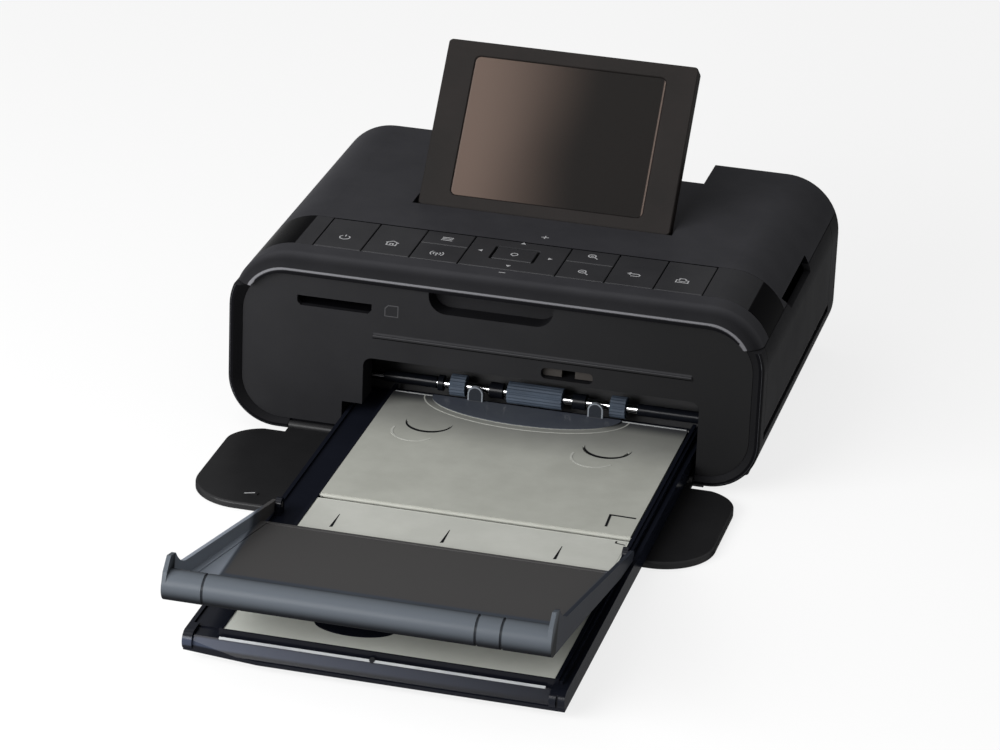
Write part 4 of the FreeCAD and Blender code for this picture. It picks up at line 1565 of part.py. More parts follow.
def make_electronics():
    """Main board, card reader, power board, power inlet and side connectors."""
    x0 = LEFT_PLATE_X + PLATE_THICKNESS
    board = block(x0, RIGHT_PLATE_X, MAIN_BOARD_FRONT, MAIN_BOARD_REAR, MAIN_BOARD_Z,
                  MAIN_BOARD_Z + BOARD_THICKNESS)
    parts = [board]
    for x, y, size in CHIPS:
        top = MAIN_BOARD_Z + BOARD_THICKNESS
        parts.append(block(x - size / 2, x + size / 2, y - size / 2, y + size / 2, top - FIT,
                           top + CHIP_HEIGHT))
    save("main_board", [fuse_all(parts)])
    left = CARD_SLOT_LEFT - CARD_READER_MARGIN
    right = CARD_SLOT_LEFT + CARD_SLOT_WIDTH + CARD_READER_MARGIN
    bottom = CARD_SLOT_BOTTOM - CARD_READER_WALL - FIT
    cage = block(left, right, FACE_REAR, FACE_REAR + CARD_READER_DEPTH, bottom, MAIN_BOARD_Z)
    cage = cage.cut(block(left + CARD_READER_WALL, right - CARD_READER_WALL, FACE_REAR - OVERRUN,
                          FACE_REAR + CARD_READER_DEPTH - CARD_READER_WALL, bottom + CARD_READER_WALL,
                          MAIN_BOARD_Z - CARD_READER_WALL))
    save("card_reader", [cage])
    power_top = POWER_BOARD_Z + BOARD_THICKNESS
    parts = [block(POWER_BOARD_LEFT, POWER_BOARD_RIGHT, POWER_BOARD_FRONT, POWER_BOARD_REAR, POWER_BOARD_Z,
                   power_top)]
    middle = (POWER_BOARD_FRONT + POWER_BOARD_REAR) / 2
    for index in range(COIL_COUNT):
        x = POWER_BOARD_LEFT + COIL_FIRST + index * COIL_PITCH
        parts.append(rod_z(power_top - FIT, power_top + COIL_HEIGHT, x, middle, COIL_RADIUS))
    save("power_board", [fuse_all(parts)])
    jack_z = power_top + JACK_HEIGHT / 2
    face = REAR_WALL_Y - FIT
    jack = block(JACK_X - JACK_WIDTH / 2, JACK_X + JACK_WIDTH / 2, face - JACK_LENGTH, face, power_top,
                 power_top + JACK_HEIGHT)
    jack = jack.fuse(rod_y(face - FIT, BODY_DEPTH - JACK_FACE_INSET, JACK_X, jack_z, JACK_NOSE_RADIUS))
    jack = jack.cut(rod_y(face - JACK_LENGTH / 2, BODY_DEPTH + OVERRUN, JACK_X, jack_z, JACK_BORE_RADIUS))
    jack = jack.fuse(rod_y(face - JACK_LENGTH / 2 - FIT, face, JACK_X, jack_z, JACK_PIN_RADIUS))
    save("dc_jack", [jack.removeSplitter()])
    solids = []
    outer = -HALF_WIDTH + USB_FACE_INSET
    inner = outer + USB_DEPTH
    for y, width, height in usb_places():
        shell = block(outer, inner, y - width / 2, y + width / 2, USB_Z - height / 2, USB_Z + height / 2)
        shell = shell.cut(block(outer - OVERRUN, inner - USB_SHELL, y - width / 2 + USB_SHELL,
                                y + width / 2 - USB_SHELL, USB_Z - height / 2 + USB_SHELL,
                                USB_Z + height / 2 - USB_SHELL))
        tongue = block(outer + USB_TONGUE, inner - USB_SHELL + FIT,
                       y - width / 2 + 2 * USB_SHELL + USB_TONGUE,
                       y + width / 2 - 2 * USB_SHELL - USB_TONGUE, USB_Z - USB_SHELL, USB_Z + USB_SHELL)
        solids.append(shell.fuse(tongue).removeSplitter())
    first = USB_Y - USB_A_WIDTH / 2 - USB_TONGUE
    last = USB_Y + USB_SPACING + USB_B_WIDTH / 2 + USB_TONGUE
    board = block(inner, inner + USB_BOARD_THICKNESS, first, last, USB_Z - USB_A_WIDTH / 2,
                  USB_Z + USB_A_WIDTH / 2)
    for y in (first + USB_SPACER, PLATE_REAR - USB_SPACER):
        board = board.fuse(rod_x(inner + USB_BOARD_THICKNESS, LEFT_PLATE_X, y, USB_Z, USB_SPACER / 2))
    solids.append(board.removeSplitter())
    save("usb_ports", solids)


def make_fan():
    """Fan frame against the rear wall and its rotor."""
    rear = REAR_WALL_Y
    front = rear - FAN_DEPTH
    half = FAN_SIZE / 2
    frame = rounded_block(FAN_X - half, FAN_X + half, front, rear, FAN_Z - half, FAN_Z + half,
                          FAN_STRUT_WIDTH, "y")
    frame = frame.cut(rod_y(front - OVERRUN, rear + OVERRUN, FAN_X, FAN_Z, FAN_RIM_RADIUS))
    back = front + FAN_BACK
    parts = [frame, rod_y(front, back, FAN_X, FAN_Z, FAN_HUB_RADIUS)]
    for turn in (0, 90, 180, 270):
        strut = block(0, FAN_RIM_RADIUS + FAN_BACK / 2, front, back, -FAN_STRUT_WIDTH / 2,
                      FAN_STRUT_WIDTH / 2)
        strut.rotate(vec(0, 0, 0), vec(0, 1, 0), turn)
        strut.translate(vec(FAN_X, 0, FAN_Z))
        parts.append(strut)
    frame = fuse_all(parts)
    frame = frame.cut(rod_y(front - OVERRUN, back + OVERRUN, FAN_X, FAN_Z, FAN_PIN_RADIUS + RUNNING))
    save("cooling_fan", [frame])
    hub_front = back + FAN_HUB_GAP
    hub_rear = rear - FAN_HUB_GAP
    depth = hub_rear - hub_front
    parts = [rod_y(hub_front, hub_rear, FAN_X, FAN_Z, FAN_HUB_RADIUS),
             rod_y(front, hub_front, FAN_X, FAN_Z, FAN_PIN_RADIUS)]
    for index in range(FAN_BLADES):
        blade = block(FAN_HUB_RADIUS - FAN_BLADE_THICKNESS, FAN_RIM_RADIUS - FAN_BLADE_GAP, -depth / 2,
                      depth / 2,
                      -FAN_BLADE_THICKNESS / 2, FAN_BLADE_THICKNESS / 2)
        blade.rotate(vec(0, 0, 0), vec(1, 0, 0), FAN_TWIST)
        blade.rotate(vec(0, 0, 0), vec(0, 1, 0), index * 360 / FAN_BLADES)
        blade.translate(vec(FAN_X, (hub_front + hub_rear) / 2, FAN_Z))
        parts.append(blade)
    save("fan_rotor", [fuse_all(parts)])


def make_feet_and_screws():
    """Four foot pads that hug the case's lower corners, and the screws of the side plates."""
    pads = []
    for sign in (-1, 1):
        for y in (FOOT_FRONT_Y, FOOT_REAR_Y):
            outer = sign * (HALF_WIDTH - FOOT_INSET)
            inner = outer - sign * FOOT_WIDTH
            x0 = min(inner, outer)
            x1 = max(inner, outer)
            rear = min(y + FOOT_LENGTH, REAR_WALL_Y)
            pad = rounded_block(x0, x1, y, rear, 0, FOOT_RISE, FOOT_CORNER, "z")
            pads.append(pad.cut(body_block(0, y - OVERRUN, rear + OVERRUN)))
    save("feet", pads)
    screws = []
    for x, y in plate_screw_places():
        head_low = FOOT_HEIGHT + SCREW_RECESS
        head_top = head_low + SCREW_HEAD_HEIGHT
        screw = rod_z(head_low, head_top, x, y, SCREW_HEAD_RADIUS)
        screw = screw.fuse(rod_z(head_top, head_top + SCREW_LENGTH, x, y, SCREW_RADIUS - RUNNING))
        reach = SCREW_HEAD_RADIUS - SCREW_RECESS
        for half_x, half_y in ((reach, SCREW_SLOT_WIDTH / 2), (SCREW_SLOT_WIDTH / 2, reach)):
            screw = screw.cut(block(x - half_x, x + half_x, y - half_y, y + half_y, head_low - OVERRUN,
                                    head_low + SCREW_SLOT_DEPTH))
        screws.append(screw.removeSplitter())
    save("case_screws", screws)


def save_all():
    """Write every node."""
    os.makedirs("parts", exist_ok=True)
    make_top_cover()
    make_lower_case()
    make_front_panel()
    make_catch_plate()
    make_key_frame()
    make_key_board()
    make_keys()
    make_display()
    make_ink_door()
    make_front_cover()
    make_cassette_tray()
    make_inner_cover()
    make_output_lid()
    make_drive()
    make_plates()
    make_paper_guide()
    make_head()
    make_ribbon()
    make_electronics()
    make_fan()
    make_feet_and_screws()


save_all()
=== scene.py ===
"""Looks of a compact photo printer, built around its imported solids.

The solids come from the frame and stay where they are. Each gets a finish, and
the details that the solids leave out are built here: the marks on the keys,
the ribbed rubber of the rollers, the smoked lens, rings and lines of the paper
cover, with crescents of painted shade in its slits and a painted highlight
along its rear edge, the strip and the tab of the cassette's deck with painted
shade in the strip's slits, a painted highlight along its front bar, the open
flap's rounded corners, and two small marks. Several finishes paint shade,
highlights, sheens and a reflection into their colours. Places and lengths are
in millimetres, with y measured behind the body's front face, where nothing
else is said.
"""

import json
import logging
import math
from dataclasses import dataclass
from enum import Enum

import bmesh
import bpy
from mathutils import Matrix, Vector

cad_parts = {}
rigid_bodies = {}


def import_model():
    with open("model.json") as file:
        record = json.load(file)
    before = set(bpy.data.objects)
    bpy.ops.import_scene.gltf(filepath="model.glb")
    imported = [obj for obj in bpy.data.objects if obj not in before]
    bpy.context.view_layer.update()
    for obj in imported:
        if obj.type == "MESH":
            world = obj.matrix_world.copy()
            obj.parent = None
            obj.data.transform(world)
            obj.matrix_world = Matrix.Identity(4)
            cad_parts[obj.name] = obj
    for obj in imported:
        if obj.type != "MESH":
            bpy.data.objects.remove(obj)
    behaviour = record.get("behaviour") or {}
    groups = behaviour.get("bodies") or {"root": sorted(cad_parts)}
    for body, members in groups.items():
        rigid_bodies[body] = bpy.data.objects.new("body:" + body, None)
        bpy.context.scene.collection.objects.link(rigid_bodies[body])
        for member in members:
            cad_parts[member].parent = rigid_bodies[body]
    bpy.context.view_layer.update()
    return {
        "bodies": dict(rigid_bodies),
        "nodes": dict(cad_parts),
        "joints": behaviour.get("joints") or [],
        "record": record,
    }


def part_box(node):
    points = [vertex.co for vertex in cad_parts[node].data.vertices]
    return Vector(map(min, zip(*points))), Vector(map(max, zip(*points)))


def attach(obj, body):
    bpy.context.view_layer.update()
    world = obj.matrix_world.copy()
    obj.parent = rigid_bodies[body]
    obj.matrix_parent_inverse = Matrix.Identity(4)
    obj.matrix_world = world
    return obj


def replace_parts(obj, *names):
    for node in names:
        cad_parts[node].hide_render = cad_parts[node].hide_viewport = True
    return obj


LOG = logging.getLogger("photo_printer")
Colour = tuple[float, float, float, float]
Point = tuple[float, float]
Range = tuple[float, float]
Triple = tuple[float, float, float]
Socket = bpy.types.NodeSocket
MM = 0.001
# The body's front face along the frame's y, and the table's height, both in metres.
BODY_FRONT = 0.02639571
TABLE = 0.0
# An edge past everything in the frame, in millimetres, and one past every share.
BEYOND = 1000.0
PAST_UNIT = 2.0
WHITE = (1.0, 1.0, 1.0, 1.0)


class Slot(Enum):
    """Material slots of the record."""

    SHELL = "charcoal_satin"
    MATTE = "matte_black"
    GLOSS = "gloss_black"
    KEY = "key_charcoal"
    BEZEL = "bezel_brown"
    GLASS = "display_glass"
    SCREEN = "screen"
    GREY = "grey_panel"
    NAVY = "navy_smoke"
    LID = "smoke_lid"
    ROLLER = "roller_rubber"
    STEEL = "steel"
    PLATE = "plate_steel"
    ALUMINIUM = "aluminium"
    GEAR = "gear_white"
    PAPER = "paper"
    BOARD = "board_green"
    FOOT = "foot_rubber"
    FILM = "ribbon_film"
    HOUSING = "ribbon_housing"
    BUSH = "bush_plastic"


class Body(Enum):
    """Bodies that carry pieces made here, apart from the keys."""

    PRINTER = "printer"
    FLAP = "flap"
    CASSETTE = "cassette"
    PAPER_COVER = "paper_cover"
    PICKUP = "pickup"
    PAD = "pad"


class Effect(Enum):
    """Shared shader groups."""

    GRAIN = "Fine Grain"
    MOTTLE = "Mottle"
    BRUSHED = "Brushed Lines"
    BAND = "Band Mask"


def tint(code: str) -> Colour:
    """Scene-linear colour of a screen colour.

    Args:
        code: Six hexadecimal digits.

    Returns:
        The colour as four numbers.
    """
    parts = []
    for start in (0, 2, 4):
        level = int(code[start:start + 2], 16) / 255
        parts.append(level / 12.92 if level <= 0.04045 else ((level + 0.055) / 1.055) ** 2.4)
    return (parts[0], parts[1], parts[2], 1.0)


def in_body(x: float, y: float, z: float) -> Vector:
    """Point of the frame from millimetres measured off the body's front face.

    Args:
        x: Millimetres to the right of the middle.
        y: Millimetres behind the front face.
        z: Millimetres above the table.

    Returns:
        The point in metres.
    """
    return Vector((x * MM, y * MM + BODY_FRONT, z * MM))


def behind(y: float) -> float:
    """The frame's own y, in millimetres, of a place behind the body's front face."""
    return y + BODY_FRONT / MM


def flat(spot: Vector, turn: float = 0.0) -> Matrix:
    """Plane through a point, with millimetres as its own units.

    Args:
        spot: The point in metres.
        turn: How far the plane tips up round x, in degrees.

    Returns:
        The plane's matrix.
    """
    tipped = Matrix.Rotation(math.radians(turn), 4, "X")
    return Matrix.Translation(spot) @ tipped @ Matrix.Diagonal((MM, MM, MM, 1.0))


class Sketch:
    """A node tree under construction."""

    def __init__(self, tree: bpy.types.NodeTree) -> None:
        """Start from an empty tree."""
        self.tree = tree
        tree.nodes.clear()

    def add(self, kind: str, settings: dict | None = None, inputs: dict | None = None) -> bpy.types.Node:
        """Add one node.

        Args:
            kind: Blender's name of the node.
            settings: Its properties.
            inputs: Its sockets, each with a constant or another socket to link.

        Returns:
            The node.
        """
        made = self.tree.nodes.new(kind)
        for key, value in (settings or {}).items():
            setattr(made, key, value)
        for key, value in (inputs or {}).items():
            if isinstance(value, Socket):
                self.tree.links.new(value, made.inputs[key])
            else:
                made.inputs[key].default_value = value
        return made

    def math(self, operation: str, *values: object) -> Socket:
        """Result of one math node over constants or sockets."""
        return self.add("ShaderNodeMath", {"operation": operation}, dict(enumerate(values))).outputs[0]

    def mix(self, share: object, low: object, high: object) -> Socket:
        """Colour between two colours.

        Args:
            share: Constant or socket, 0 for the first and 1 for the second.
            low: First colour.
            high: Second colour.

        Returns:
            The mixed colour's socket.
        """
        return self.add("ShaderNodeMix", {"data_type": "RGBA"}, {0: share, 6: low, 7: high}).outputs[2]

    def place(self) -> Socket:
        """Object coordinates."""
        return self.add("ShaderNodeTexCoord").outputs["Object"]

    def places(self) -> list[Socket]:
        """Object coordinates along x, y and z."""
        return list(self.add("ShaderNodeSeparateXYZ", inputs={0: self.place()}).outputs)

    def leans(self) -> list[Socket]:
        """How far the surface faces along x, y and z."""
        normal = self.add("ShaderNodeTexCoord").outputs["Normal"]
        return list(self.add("ShaderNodeSeparateXYZ", inputs={0: normal}).outputs)

    def ramp(self, value: object, start: float, end: float, low: float = 0.0, high: float = 1.0,
             kind: str = "SMOOTHSTEP") -> Socket:
        """Number that goes from one level to another.

        Args:
            value: What it depends on.
            start: Value at which it leaves the first level.
            end: Value at which it reaches the second.
            low: First level.
            high: Second level.
            kind: Blender's name of the way between them.

        Returns:
            The number's socket.
        """
        node = self.add("ShaderNodeMapRange", {"interpolation_type": kind},
                        {"Value": value, 1: start, 2: end, 3: low, 4: high})
        return node.outputs[0]

    def between(self, value: object, low: float, high: float, soft: float, unit: float = MM) -> Socket:
        """Mask of where a value lies between two others.

        Args:
            value: What is measured.
            low: Lower edge.
            high: Upper edge.
            soft: How far the mask fades inside its edges.
            unit: Size of one step of the three numbers, a millimetre if not given.

        Returns:
            The mask's socket.
        """
        band = self.effect(Effect.BAND, Value=value, Low=low * unit, High=high * unit, Soft=soft * unit)
        return band.outputs["Mask"]

    def effect(self, effect: Effect, **inputs: object) -> bpy.types.Node:
        """Add one of the shared groups.

        Args:
            effect: Which group.
            inputs: Its values, by name.

        Returns:
            The group's node.
        """
        return self.add("ShaderNodeGroup", {"node_tree": bpy.data.node_groups[effect.value]}, inputs)


@dataclass
class EffectLibrary:
    """Shader groups that several finishes use."""

    drift_size: float = 45.0
    cloud_range: Range = (0.35, 0.65)
    line_range: Range = (0.3, 0.7)

    def build(self) -> None:
        """Make every group once."""
        self.grain()
        self.mottle()
        self.brushed()
        self.band()

    def start(self, effect: Effect, inputs: dict[str, object], outputs: dict[str, str]) -> tuple:
        """Open a group with its sockets.

        Args:
            effect: Which group.
            inputs: Input names with their defaults, a number or a colour.
            outputs: Output names with their socket types.

        Returns:
            The sketch, the group's inputs and its output node's sockets.
        """
        tree = bpy.data.node_groups.new(effect.value, "ShaderNodeTree")
        for name, default in inputs.items():
            kind = "NodeSocketColor" if isinstance(default, tuple) else "NodeSocketFloat"
            socket = tree.interface.new_socket(name, in_out="INPUT", socket_type=kind)
            socket.default_value = default
        for name, kind in outputs.items():
            tree.interface.new_socket(name, in_out="OUTPUT", socket_type=kind)
        sketch = Sketch(tree)
        return sketch, sketch.add("NodeGroupInput").outputs, sketch.add("NodeGroupOutput").inputs

    def grain(self) -> None:
        """Moulded texture: a height for a bump and a roughness that drifts."""
        sketch, given, out = self.start(Effect.GRAIN, {"Size": 2500.0, "Roughness": 0.4, "Spread": 0.08},
                                        {"Height": "NodeSocketFloat", "Roughness": "NodeSocketFloat"})
        place = sketch.place()
        fine = sketch.add("ShaderNodeTexNoise",
                          inputs={"Vector": place, "Scale": given["Size"], "Detail": 2.0})
        broad = sketch.add("ShaderNodeTexNoise",
                           inputs={"Vector": place, "Scale": self.drift_size, "Detail": 3.0})
        drift = sketch.math("MULTIPLY", sketch.math("SUBTRACT", broad.outputs[0], 0.5), given["Spread"])
        sketch.tree.links.new(fine.outputs[0], out["Height"])
        sketch.tree.links.new(sketch.math("ADD", given["Roughness"], drift), out["Roughness"])

    def mottle(self) -> None:
        """Faint unevenness between two near colours."""
        sketch, given, out = self.start(
            Effect.MOTTLE, {"Colour": (0.1, 0.1, 0.1, 1.0), "Shade": (0.08, 0.08, 0.08, 1.0), "Size": 60.0},
            {"Colour": "NodeSocketColor"})
        cloud = sketch.add("ShaderNodeTexNoise", inputs={"Vector": sketch.place(), "Scale": given["Size"],
                                                         "Detail": 4.0, "Roughness": 0.6})
        share = sketch.ramp(cloud.outputs[0], *self.cloud_range, kind="LINEAR")
        sketch.tree.links.new(sketch.mix(share, given["Colour"], given["Shade"]), out["Colour"])

    def brushed(self) -> None:
        """Fine lines drawn out along the machine's width."""
        sketch, given, out = self.start(Effect.BRUSHED, {"Size": 900.0, "Stretch": 0.03},
                                        {"Mask": "NodeSocketFloat"})
        across, back, up = sketch.places()
        along = sketch.math("MULTIPLY", across, given["Stretch"])
        joined = sketch.add("ShaderNodeCombineXYZ", inputs={0: along, 1: back, 2: up})
        lines = sketch.add("ShaderNodeTexNoise", inputs={"Vector": joined.outputs[0], "Scale": given["Size"],
                                                         "Detail": 2.0})
        mask = sketch.ramp(lines.outputs[0], *self.line_range, kind="LINEAR")
        sketch.tree.links.new(mask, out["Mask"])

    def band(self) -> None:
        """Mask that is one between two values and fades out over a soft edge."""
        sketch, given, out = self.start(Effect.BAND, {"Value": 0.0, "Low": 0.0, "High": 1.0, "Soft": 0.001},
                                        {"Mask": "NodeSocketFloat"})
        rise = sketch.math("DIVIDE", sketch.math("SUBTRACT", given["Value"], given["Low"]), given["Soft"])
        fall = sketch.math("DIVIDE", sketch.math("SUBTRACT", given["High"], given["Value"]), given["Soft"])
        mask = sketch.add("ShaderNodeClamp", inputs={0: sketch.math("MINIMUM", rise, fall)})
        sketch.tree.links.new(mask.outputs[0], out["Mask"])


@dataclass(frozen=True)
class Finish:
    """Common ground of the finishes: two near colours, a roughness, a grain and a sheen."""

    name: str
    colour: str
    shade: str
    roughness: float = 0.45
    specular: float = 0.3
    spread: float = 0.1
    grain: float = 2600.0
    depth: float = 0.00001
    strength: float = 0.25
    mottle: float = 60.0
    bare: float = 0.002
    blend: float = 0.5
    fade: Range = (0.35, 0.72)

    def material(self) -> bpy.types.Material:
        """The finish as a material, made once.

        Returns:
            The material.
        """
        found = bpy.data.materials.get(self.name)
        if found:
            return found
        made = bpy.data.materials.new(self.name)
        made.use_nodes = True
        sketch = Sketch(made.node_tree)
        grain = sketch.effect(Effect.GRAIN, Size=self.grain, Roughness=self.roughness, Spread=self.spread)
        bump = sketch.add("ShaderNodeBump", inputs={"Strength": self.strength, "Distance": self.depth,
                                                    "Height": grain.outputs["Height"]})
        shader = sketch.add("ShaderNodeBsdfPrincipled", inputs={
            "Base Color": self.base(sketch), "Roughness": self.gloss(sketch, grain.outputs["Roughness"]),
            "Normal": bump.outputs[0], "Specular IOR Level": self.bare,
            "Coat Weight": self.shine(sketch), "Coat Roughness": self.roughness})
        self.settle(shader)
        sketch.add("ShaderNodeOutputMaterial", inputs={0: shader.outputs[0]})
        made.diffuse_color = tint(self.colour)
        return made

    def base(self, sketch: Sketch) -> Socket:
        """Colour over the surface."""
        return sketch.effect(Effect.MOTTLE, Colour=tint(self.colour), Shade=tint(self.shade),
                             Size=self.mottle).outputs["Colour"]

    def gloss(self, sketch: Sketch, roughness: Socket) -> Socket:
        """Roughness over the surface."""
        return roughness

    def shine(self, sketch: Sketch) -> Socket | float:
        """Sheen's weight, which fades where the surface turns away, so that a dark face stays dark."""
        facing = sketch.add("ShaderNodeLayerWeight", inputs={"Blend": self.blend}).outputs["Facing"]
        return sketch.ramp(facing, *self.fade, 2.0 * self.specular, 0.0)

    def settle(self, shader: bpy.types.Node) -> None:
        """Set what the finish holds constant on the shader itself."""


@dataclass(frozen=True)
class Metal(Finish):
    """Bare metal with drawn lines."""

    lines: float = 900.0
    stretch: float = 0.03

    def base(self, sketch: Sketch) -> Socket:
        """Two greys along the drawn lines."""
        lines = sketch.effect(Effect.BRUSHED, Size=self.lines, Stretch=self.stretch)
        return sketch.mix(lines.outputs["Mask"], tint(self.colour), tint(self.shade))

    def shine(self, sketch: Sketch) -> Socket | float:
        """No sheen over bare metal."""
        return 0.0

    def settle(self, shader: bpy.types.Node) -> None:
        """Make it a metal."""
        shader.inputs["Metallic"].default_value = 1.0


@dataclass(frozen=True)
class Smoked(Finish):
    """Dark plastic with a painted sheen: lighter where it turns away from the eye."""

    # Colour of the painted sheen at a glancing angle.
    rim: str = "3a4252"
    reach: float = 0.35

    def base(self, sketch: Sketch) -> Socket:
        """Deep colour in the face, rim colour painted at a glancing angle as a sheen."""
        deep = Finish.base(self, sketch)
        facing = sketch.add("ShaderNodeLayerWeight", inputs={"Blend": self.reach})
        return sketch.mix(facing.outputs["Facing"], deep, tint(self.rim))


@dataclass(frozen=True)
class ClearSmoke(Finish):
    """Smoked plastic that lets light through."""

    through: float = 0.75
    bending: float = 1.25

    def settle(self, shader: bpy.types.Node) -> None:
        """Let light through with little bending."""
        shader.inputs["Transmission Weight"].default_value = self.through
        shader.inputs["IOR"].default_value = self.bending


@dataclass(frozen=True)
class LidSmoke(ClearSmoke):
    """Smoke of the output lid: warm window, blue-grey frame, rolled front edge with painted shade and
    highlight, and ring grooves painted dark.
    """

    window: str = "494848"
    # light and deep paint the roll's highlight and its shade; deep also paints the ring grooves.
    light: str = "4c5157"
    deep: str = "0c0e12"
    right: float = 62.3
    left_rear: float = -52.5
    left_lean: float = 0.141
    near: float = -20.0
    far: float = 84.5
    soft: float = 1.2
    # Painted light on the frame and inner wall left of the window, offsetting the left wall's shadow.
    wall_painted_light: str = "868d97"
    wall_faces: float = -0.5
    wall_fade: float = 0.1
    right_tint: str = "2e3138"
    side_soft: float = 0.8
    hinge_y: float = -78.0
    hinge_z: float = 12.0
    slope: float = 13.2
    roll_reach: float = 108.0
    roll_drop: float = 3.7
    roll_radius: float = 4.7
    roll_from: float = 0.8
    # Angle above the roll's front at which its painted highlight is brightest.
    roll_light: float = 35.0
    roll_dark: float = 0.1
    rings: tuple[float, ...] = (-38.0, 44.0, 51.5)
    ring_width: float = 0.9
    ring_soft: float = 0.3
    ring_share: float = 0.8

    def base(self, sketch: Sketch) -> Socket:
        """Window colour inside the window, frame colour around it, painted light left of the window that
        offsets the left wall's shadow, and a roll in front with painted shade and highlight.
        """
        frame = Finish.base(self, sketch)
        across, back, up = sketch.places()
        reach, rise = self.lid_place(sketch, back, up)
        inward = sketch.math("SUBTRACT", across, sketch.math("MULTIPLY", reach, self.left_lean))
        sides = sketch.math("MULTIPLY", sketch.between(inward, self.left_rear, BEYOND, self.soft),
                            sketch.between(across, -BEYOND, self.right, self.soft))
        mask = sketch.math("MULTIPLY", sides, sketch.between(reach, self.near, self.far, self.soft))
        face = sketch.mix(mask, frame, tint(self.window))
        # Painted light left of the window, on faces that don't face left, offsetting the left wall's shadow.
        wall = sketch.between(inward, -BEYOND, self.left_rear, self.side_soft)
        inner = sketch.between(sketch.leans()[0], self.wall_faces, PAST_UNIT, self.wall_fade, 1.0)
        face = sketch.mix(sketch.math("MULTIPLY", wall, inner), face, tint(self.wall_painted_light))
        shade = sketch.between(across, self.right, BEYOND, self.side_soft)
        face = sketch.mix(shade, face, tint(self.right_tint))
        return self.roll(sketch, face, across, reach, rise)

    def lid_place(self, sketch: Sketch, back: Socket, up: Socket) -> tuple[Socket, Socket]:
        """Distance in front of the lid's hinge and height over its slope.

        Args:
            sketch: The material's tree.
            back: The place along y.
            up: The place along z.

        Returns:
            Both as sockets, in metres.
        """
        hinge = in_body(0, self.hinge_y, self.hinge_z)
        cosine = math.cos(math.radians(self.slope))
        sine = math.sin(math.radians(self.slope))
        ahead = sketch.math("SUBTRACT", hinge.y, back)
        above = sketch.math("SUBTRACT", up, hinge.z)
        reach = sketch.math("ADD", sketch.math("MULTIPLY", ahead, cosine),
                            sketch.math("MULTIPLY", above, sine))
        rise = sketch.math("SUBTRACT", sketch.math("MULTIPLY", above, cosine),
                           sketch.math("MULTIPLY", ahead, sine))
        return reach, rise

    def roll(self, sketch: Sketch, face: Socket, across: Socket, reach: Socket, rise: Socket) -> Socket:
        """Paint shade and a highlight on the rolled edge round its axis and draw its rings as grooves of
        painted shade.

        Args:
            sketch: The material's tree.
            face: Colour of the rest.
            across: Place along the roll.
            reach: Distance in front of the hinge.
            rise: Height over the slope.

        Returns:
            The colour's socket.
        """
        # Painted shade and highlight round the roll's axis.
        turn = math.radians(self.roll_light)
        out = sketch.math("SUBTRACT", reach, self.roll_reach * MM)
        lift = sketch.math("ADD", rise, self.roll_drop * MM)
        toward = sketch.math("ADD", sketch.math("MULTIPLY", out, math.cos(turn)),
                             sketch.math("MULTIPLY", lift, math.sin(turn)))
        share = sketch.ramp(toward, self.roll_dark * self.roll_radius * MM, self.roll_radius * MM)
        shaded = sketch.mix(share, tint(self.deep), tint(self.light))
        half = self.ring_width / 2
        # Ring grooves painted dark in the roll's shade colour.
        for ring in self.rings:
            line = sketch.between(across, ring - half, ring + half, self.ring_soft)
            shaded = sketch.mix(sketch.math("MULTIPLY", line, self.ring_share), shaded, tint(self.deep))
        start = self.roll_reach - self.roll_from * self.roll_radius
        return sketch.mix(sketch.between(reach, start, BEYOND, self.soft), face, shaded)


@dataclass(frozen=True)
class CoverFinish(Finish):
    """Grey paper cover, darkened by painted shade towards its rear edge, with smoky clear fingers.

    Each shade drift says where the painted shade starts, where it ends and its share there.
    """

    # Colour of the painted shade along the rear edge, under the mouth.
    rear_shade: str = "1f2129"
    clear: str = "24272c"
    rim: str = "777c82"
    shade_drifts: tuple[Triple, ...] = ((-18.0, 7.0, 0.42), (12.5, 20.0, 0.8))
    base_top: float = 12.1
    disc: float = 14.6
    radius: float = 2.6
    middle: float = 10.4
    half: float = 20.6
    rim_wide: float = 0.5
    soft: float = 0.1

    def base(self, sketch: Sketch) -> Socket:
        """Grey on the level face with painted shade towards the rear, smoke and a pale rim on the fingers."""
        side, back, up = sketch.places()
        level = Finish.base(self, sketch)
        # Painted shade, deepening towards the rear edge.
        for front, rear, share in self.shade_drifts:
            rear_shaded = sketch.ramp(back, behind(front) * MM, behind(rear) * MM, 0.0, share)
            level = sketch.mix(rear_shaded, level, tint(self.rear_shade))
        apart = sketch.math("ABSOLUTE", sketch.math("SUBTRACT", side, self.middle * MM))
        across = sketch.math("SUBTRACT", apart, self.half * MM)
        above = sketch.math("MAXIMUM", sketch.math("SUBTRACT", up, self.disc * MM), 0.0)
        squares = sketch.math("ADD", sketch.math("MULTIPLY", across, across),
                              sketch.math("MULTIPLY", above, above))
        ring = sketch.between(sketch.math("SQRT", squares), self.radius - self.rim_wide, BEYOND, self.soft)
        finger = sketch.mix(ring, tint(self.clear), tint(self.rim))
        return sketch.mix(sketch.between(up, self.base_top, BEYOND, self.soft), level, finger)


@dataclass(frozen=True)
class TrayFinish(Smoked):
    """Navy smoke of the cassette, with a painted sheen on the upper half of its front bar."""

    # Colours of the painted sheen on the bar, at its left and right ends.
    bar_light: str = "2e3340"
    bar_dark: str = "0d0f16"
    bar_rear: float = -165.4
    bar_low: float = 5.2
    bar_high: float = 8.3
    bar_soft: float = 0.6
    front_soft: float = 0.2
    left: float = -50.0
    right: float = 65.0

    def base(self, sketch: Sketch) -> Socket:
        """Navy everywhere, with a painted sheen on the bar that fades to the right."""
        navy = Smoked.base(self, sketch)
        across, back, up = sketch.places()
        # Painted sheen on the bar's upper face, fading to the right.
        fade = sketch.ramp(across, self.left * MM, self.right * MM, kind="LINEAR")
        sheen = sketch.mix(fade, tint(self.bar_light), tint(self.bar_dark))
        front = sketch.between(back, -BEYOND, behind(self.bar_rear), self.front_soft)
        high = sketch.between(up, self.bar_low, self.bar_high, self.bar_soft)
        return sketch.mix(sketch.math("MULTIPLY", front, high), navy, sheen)


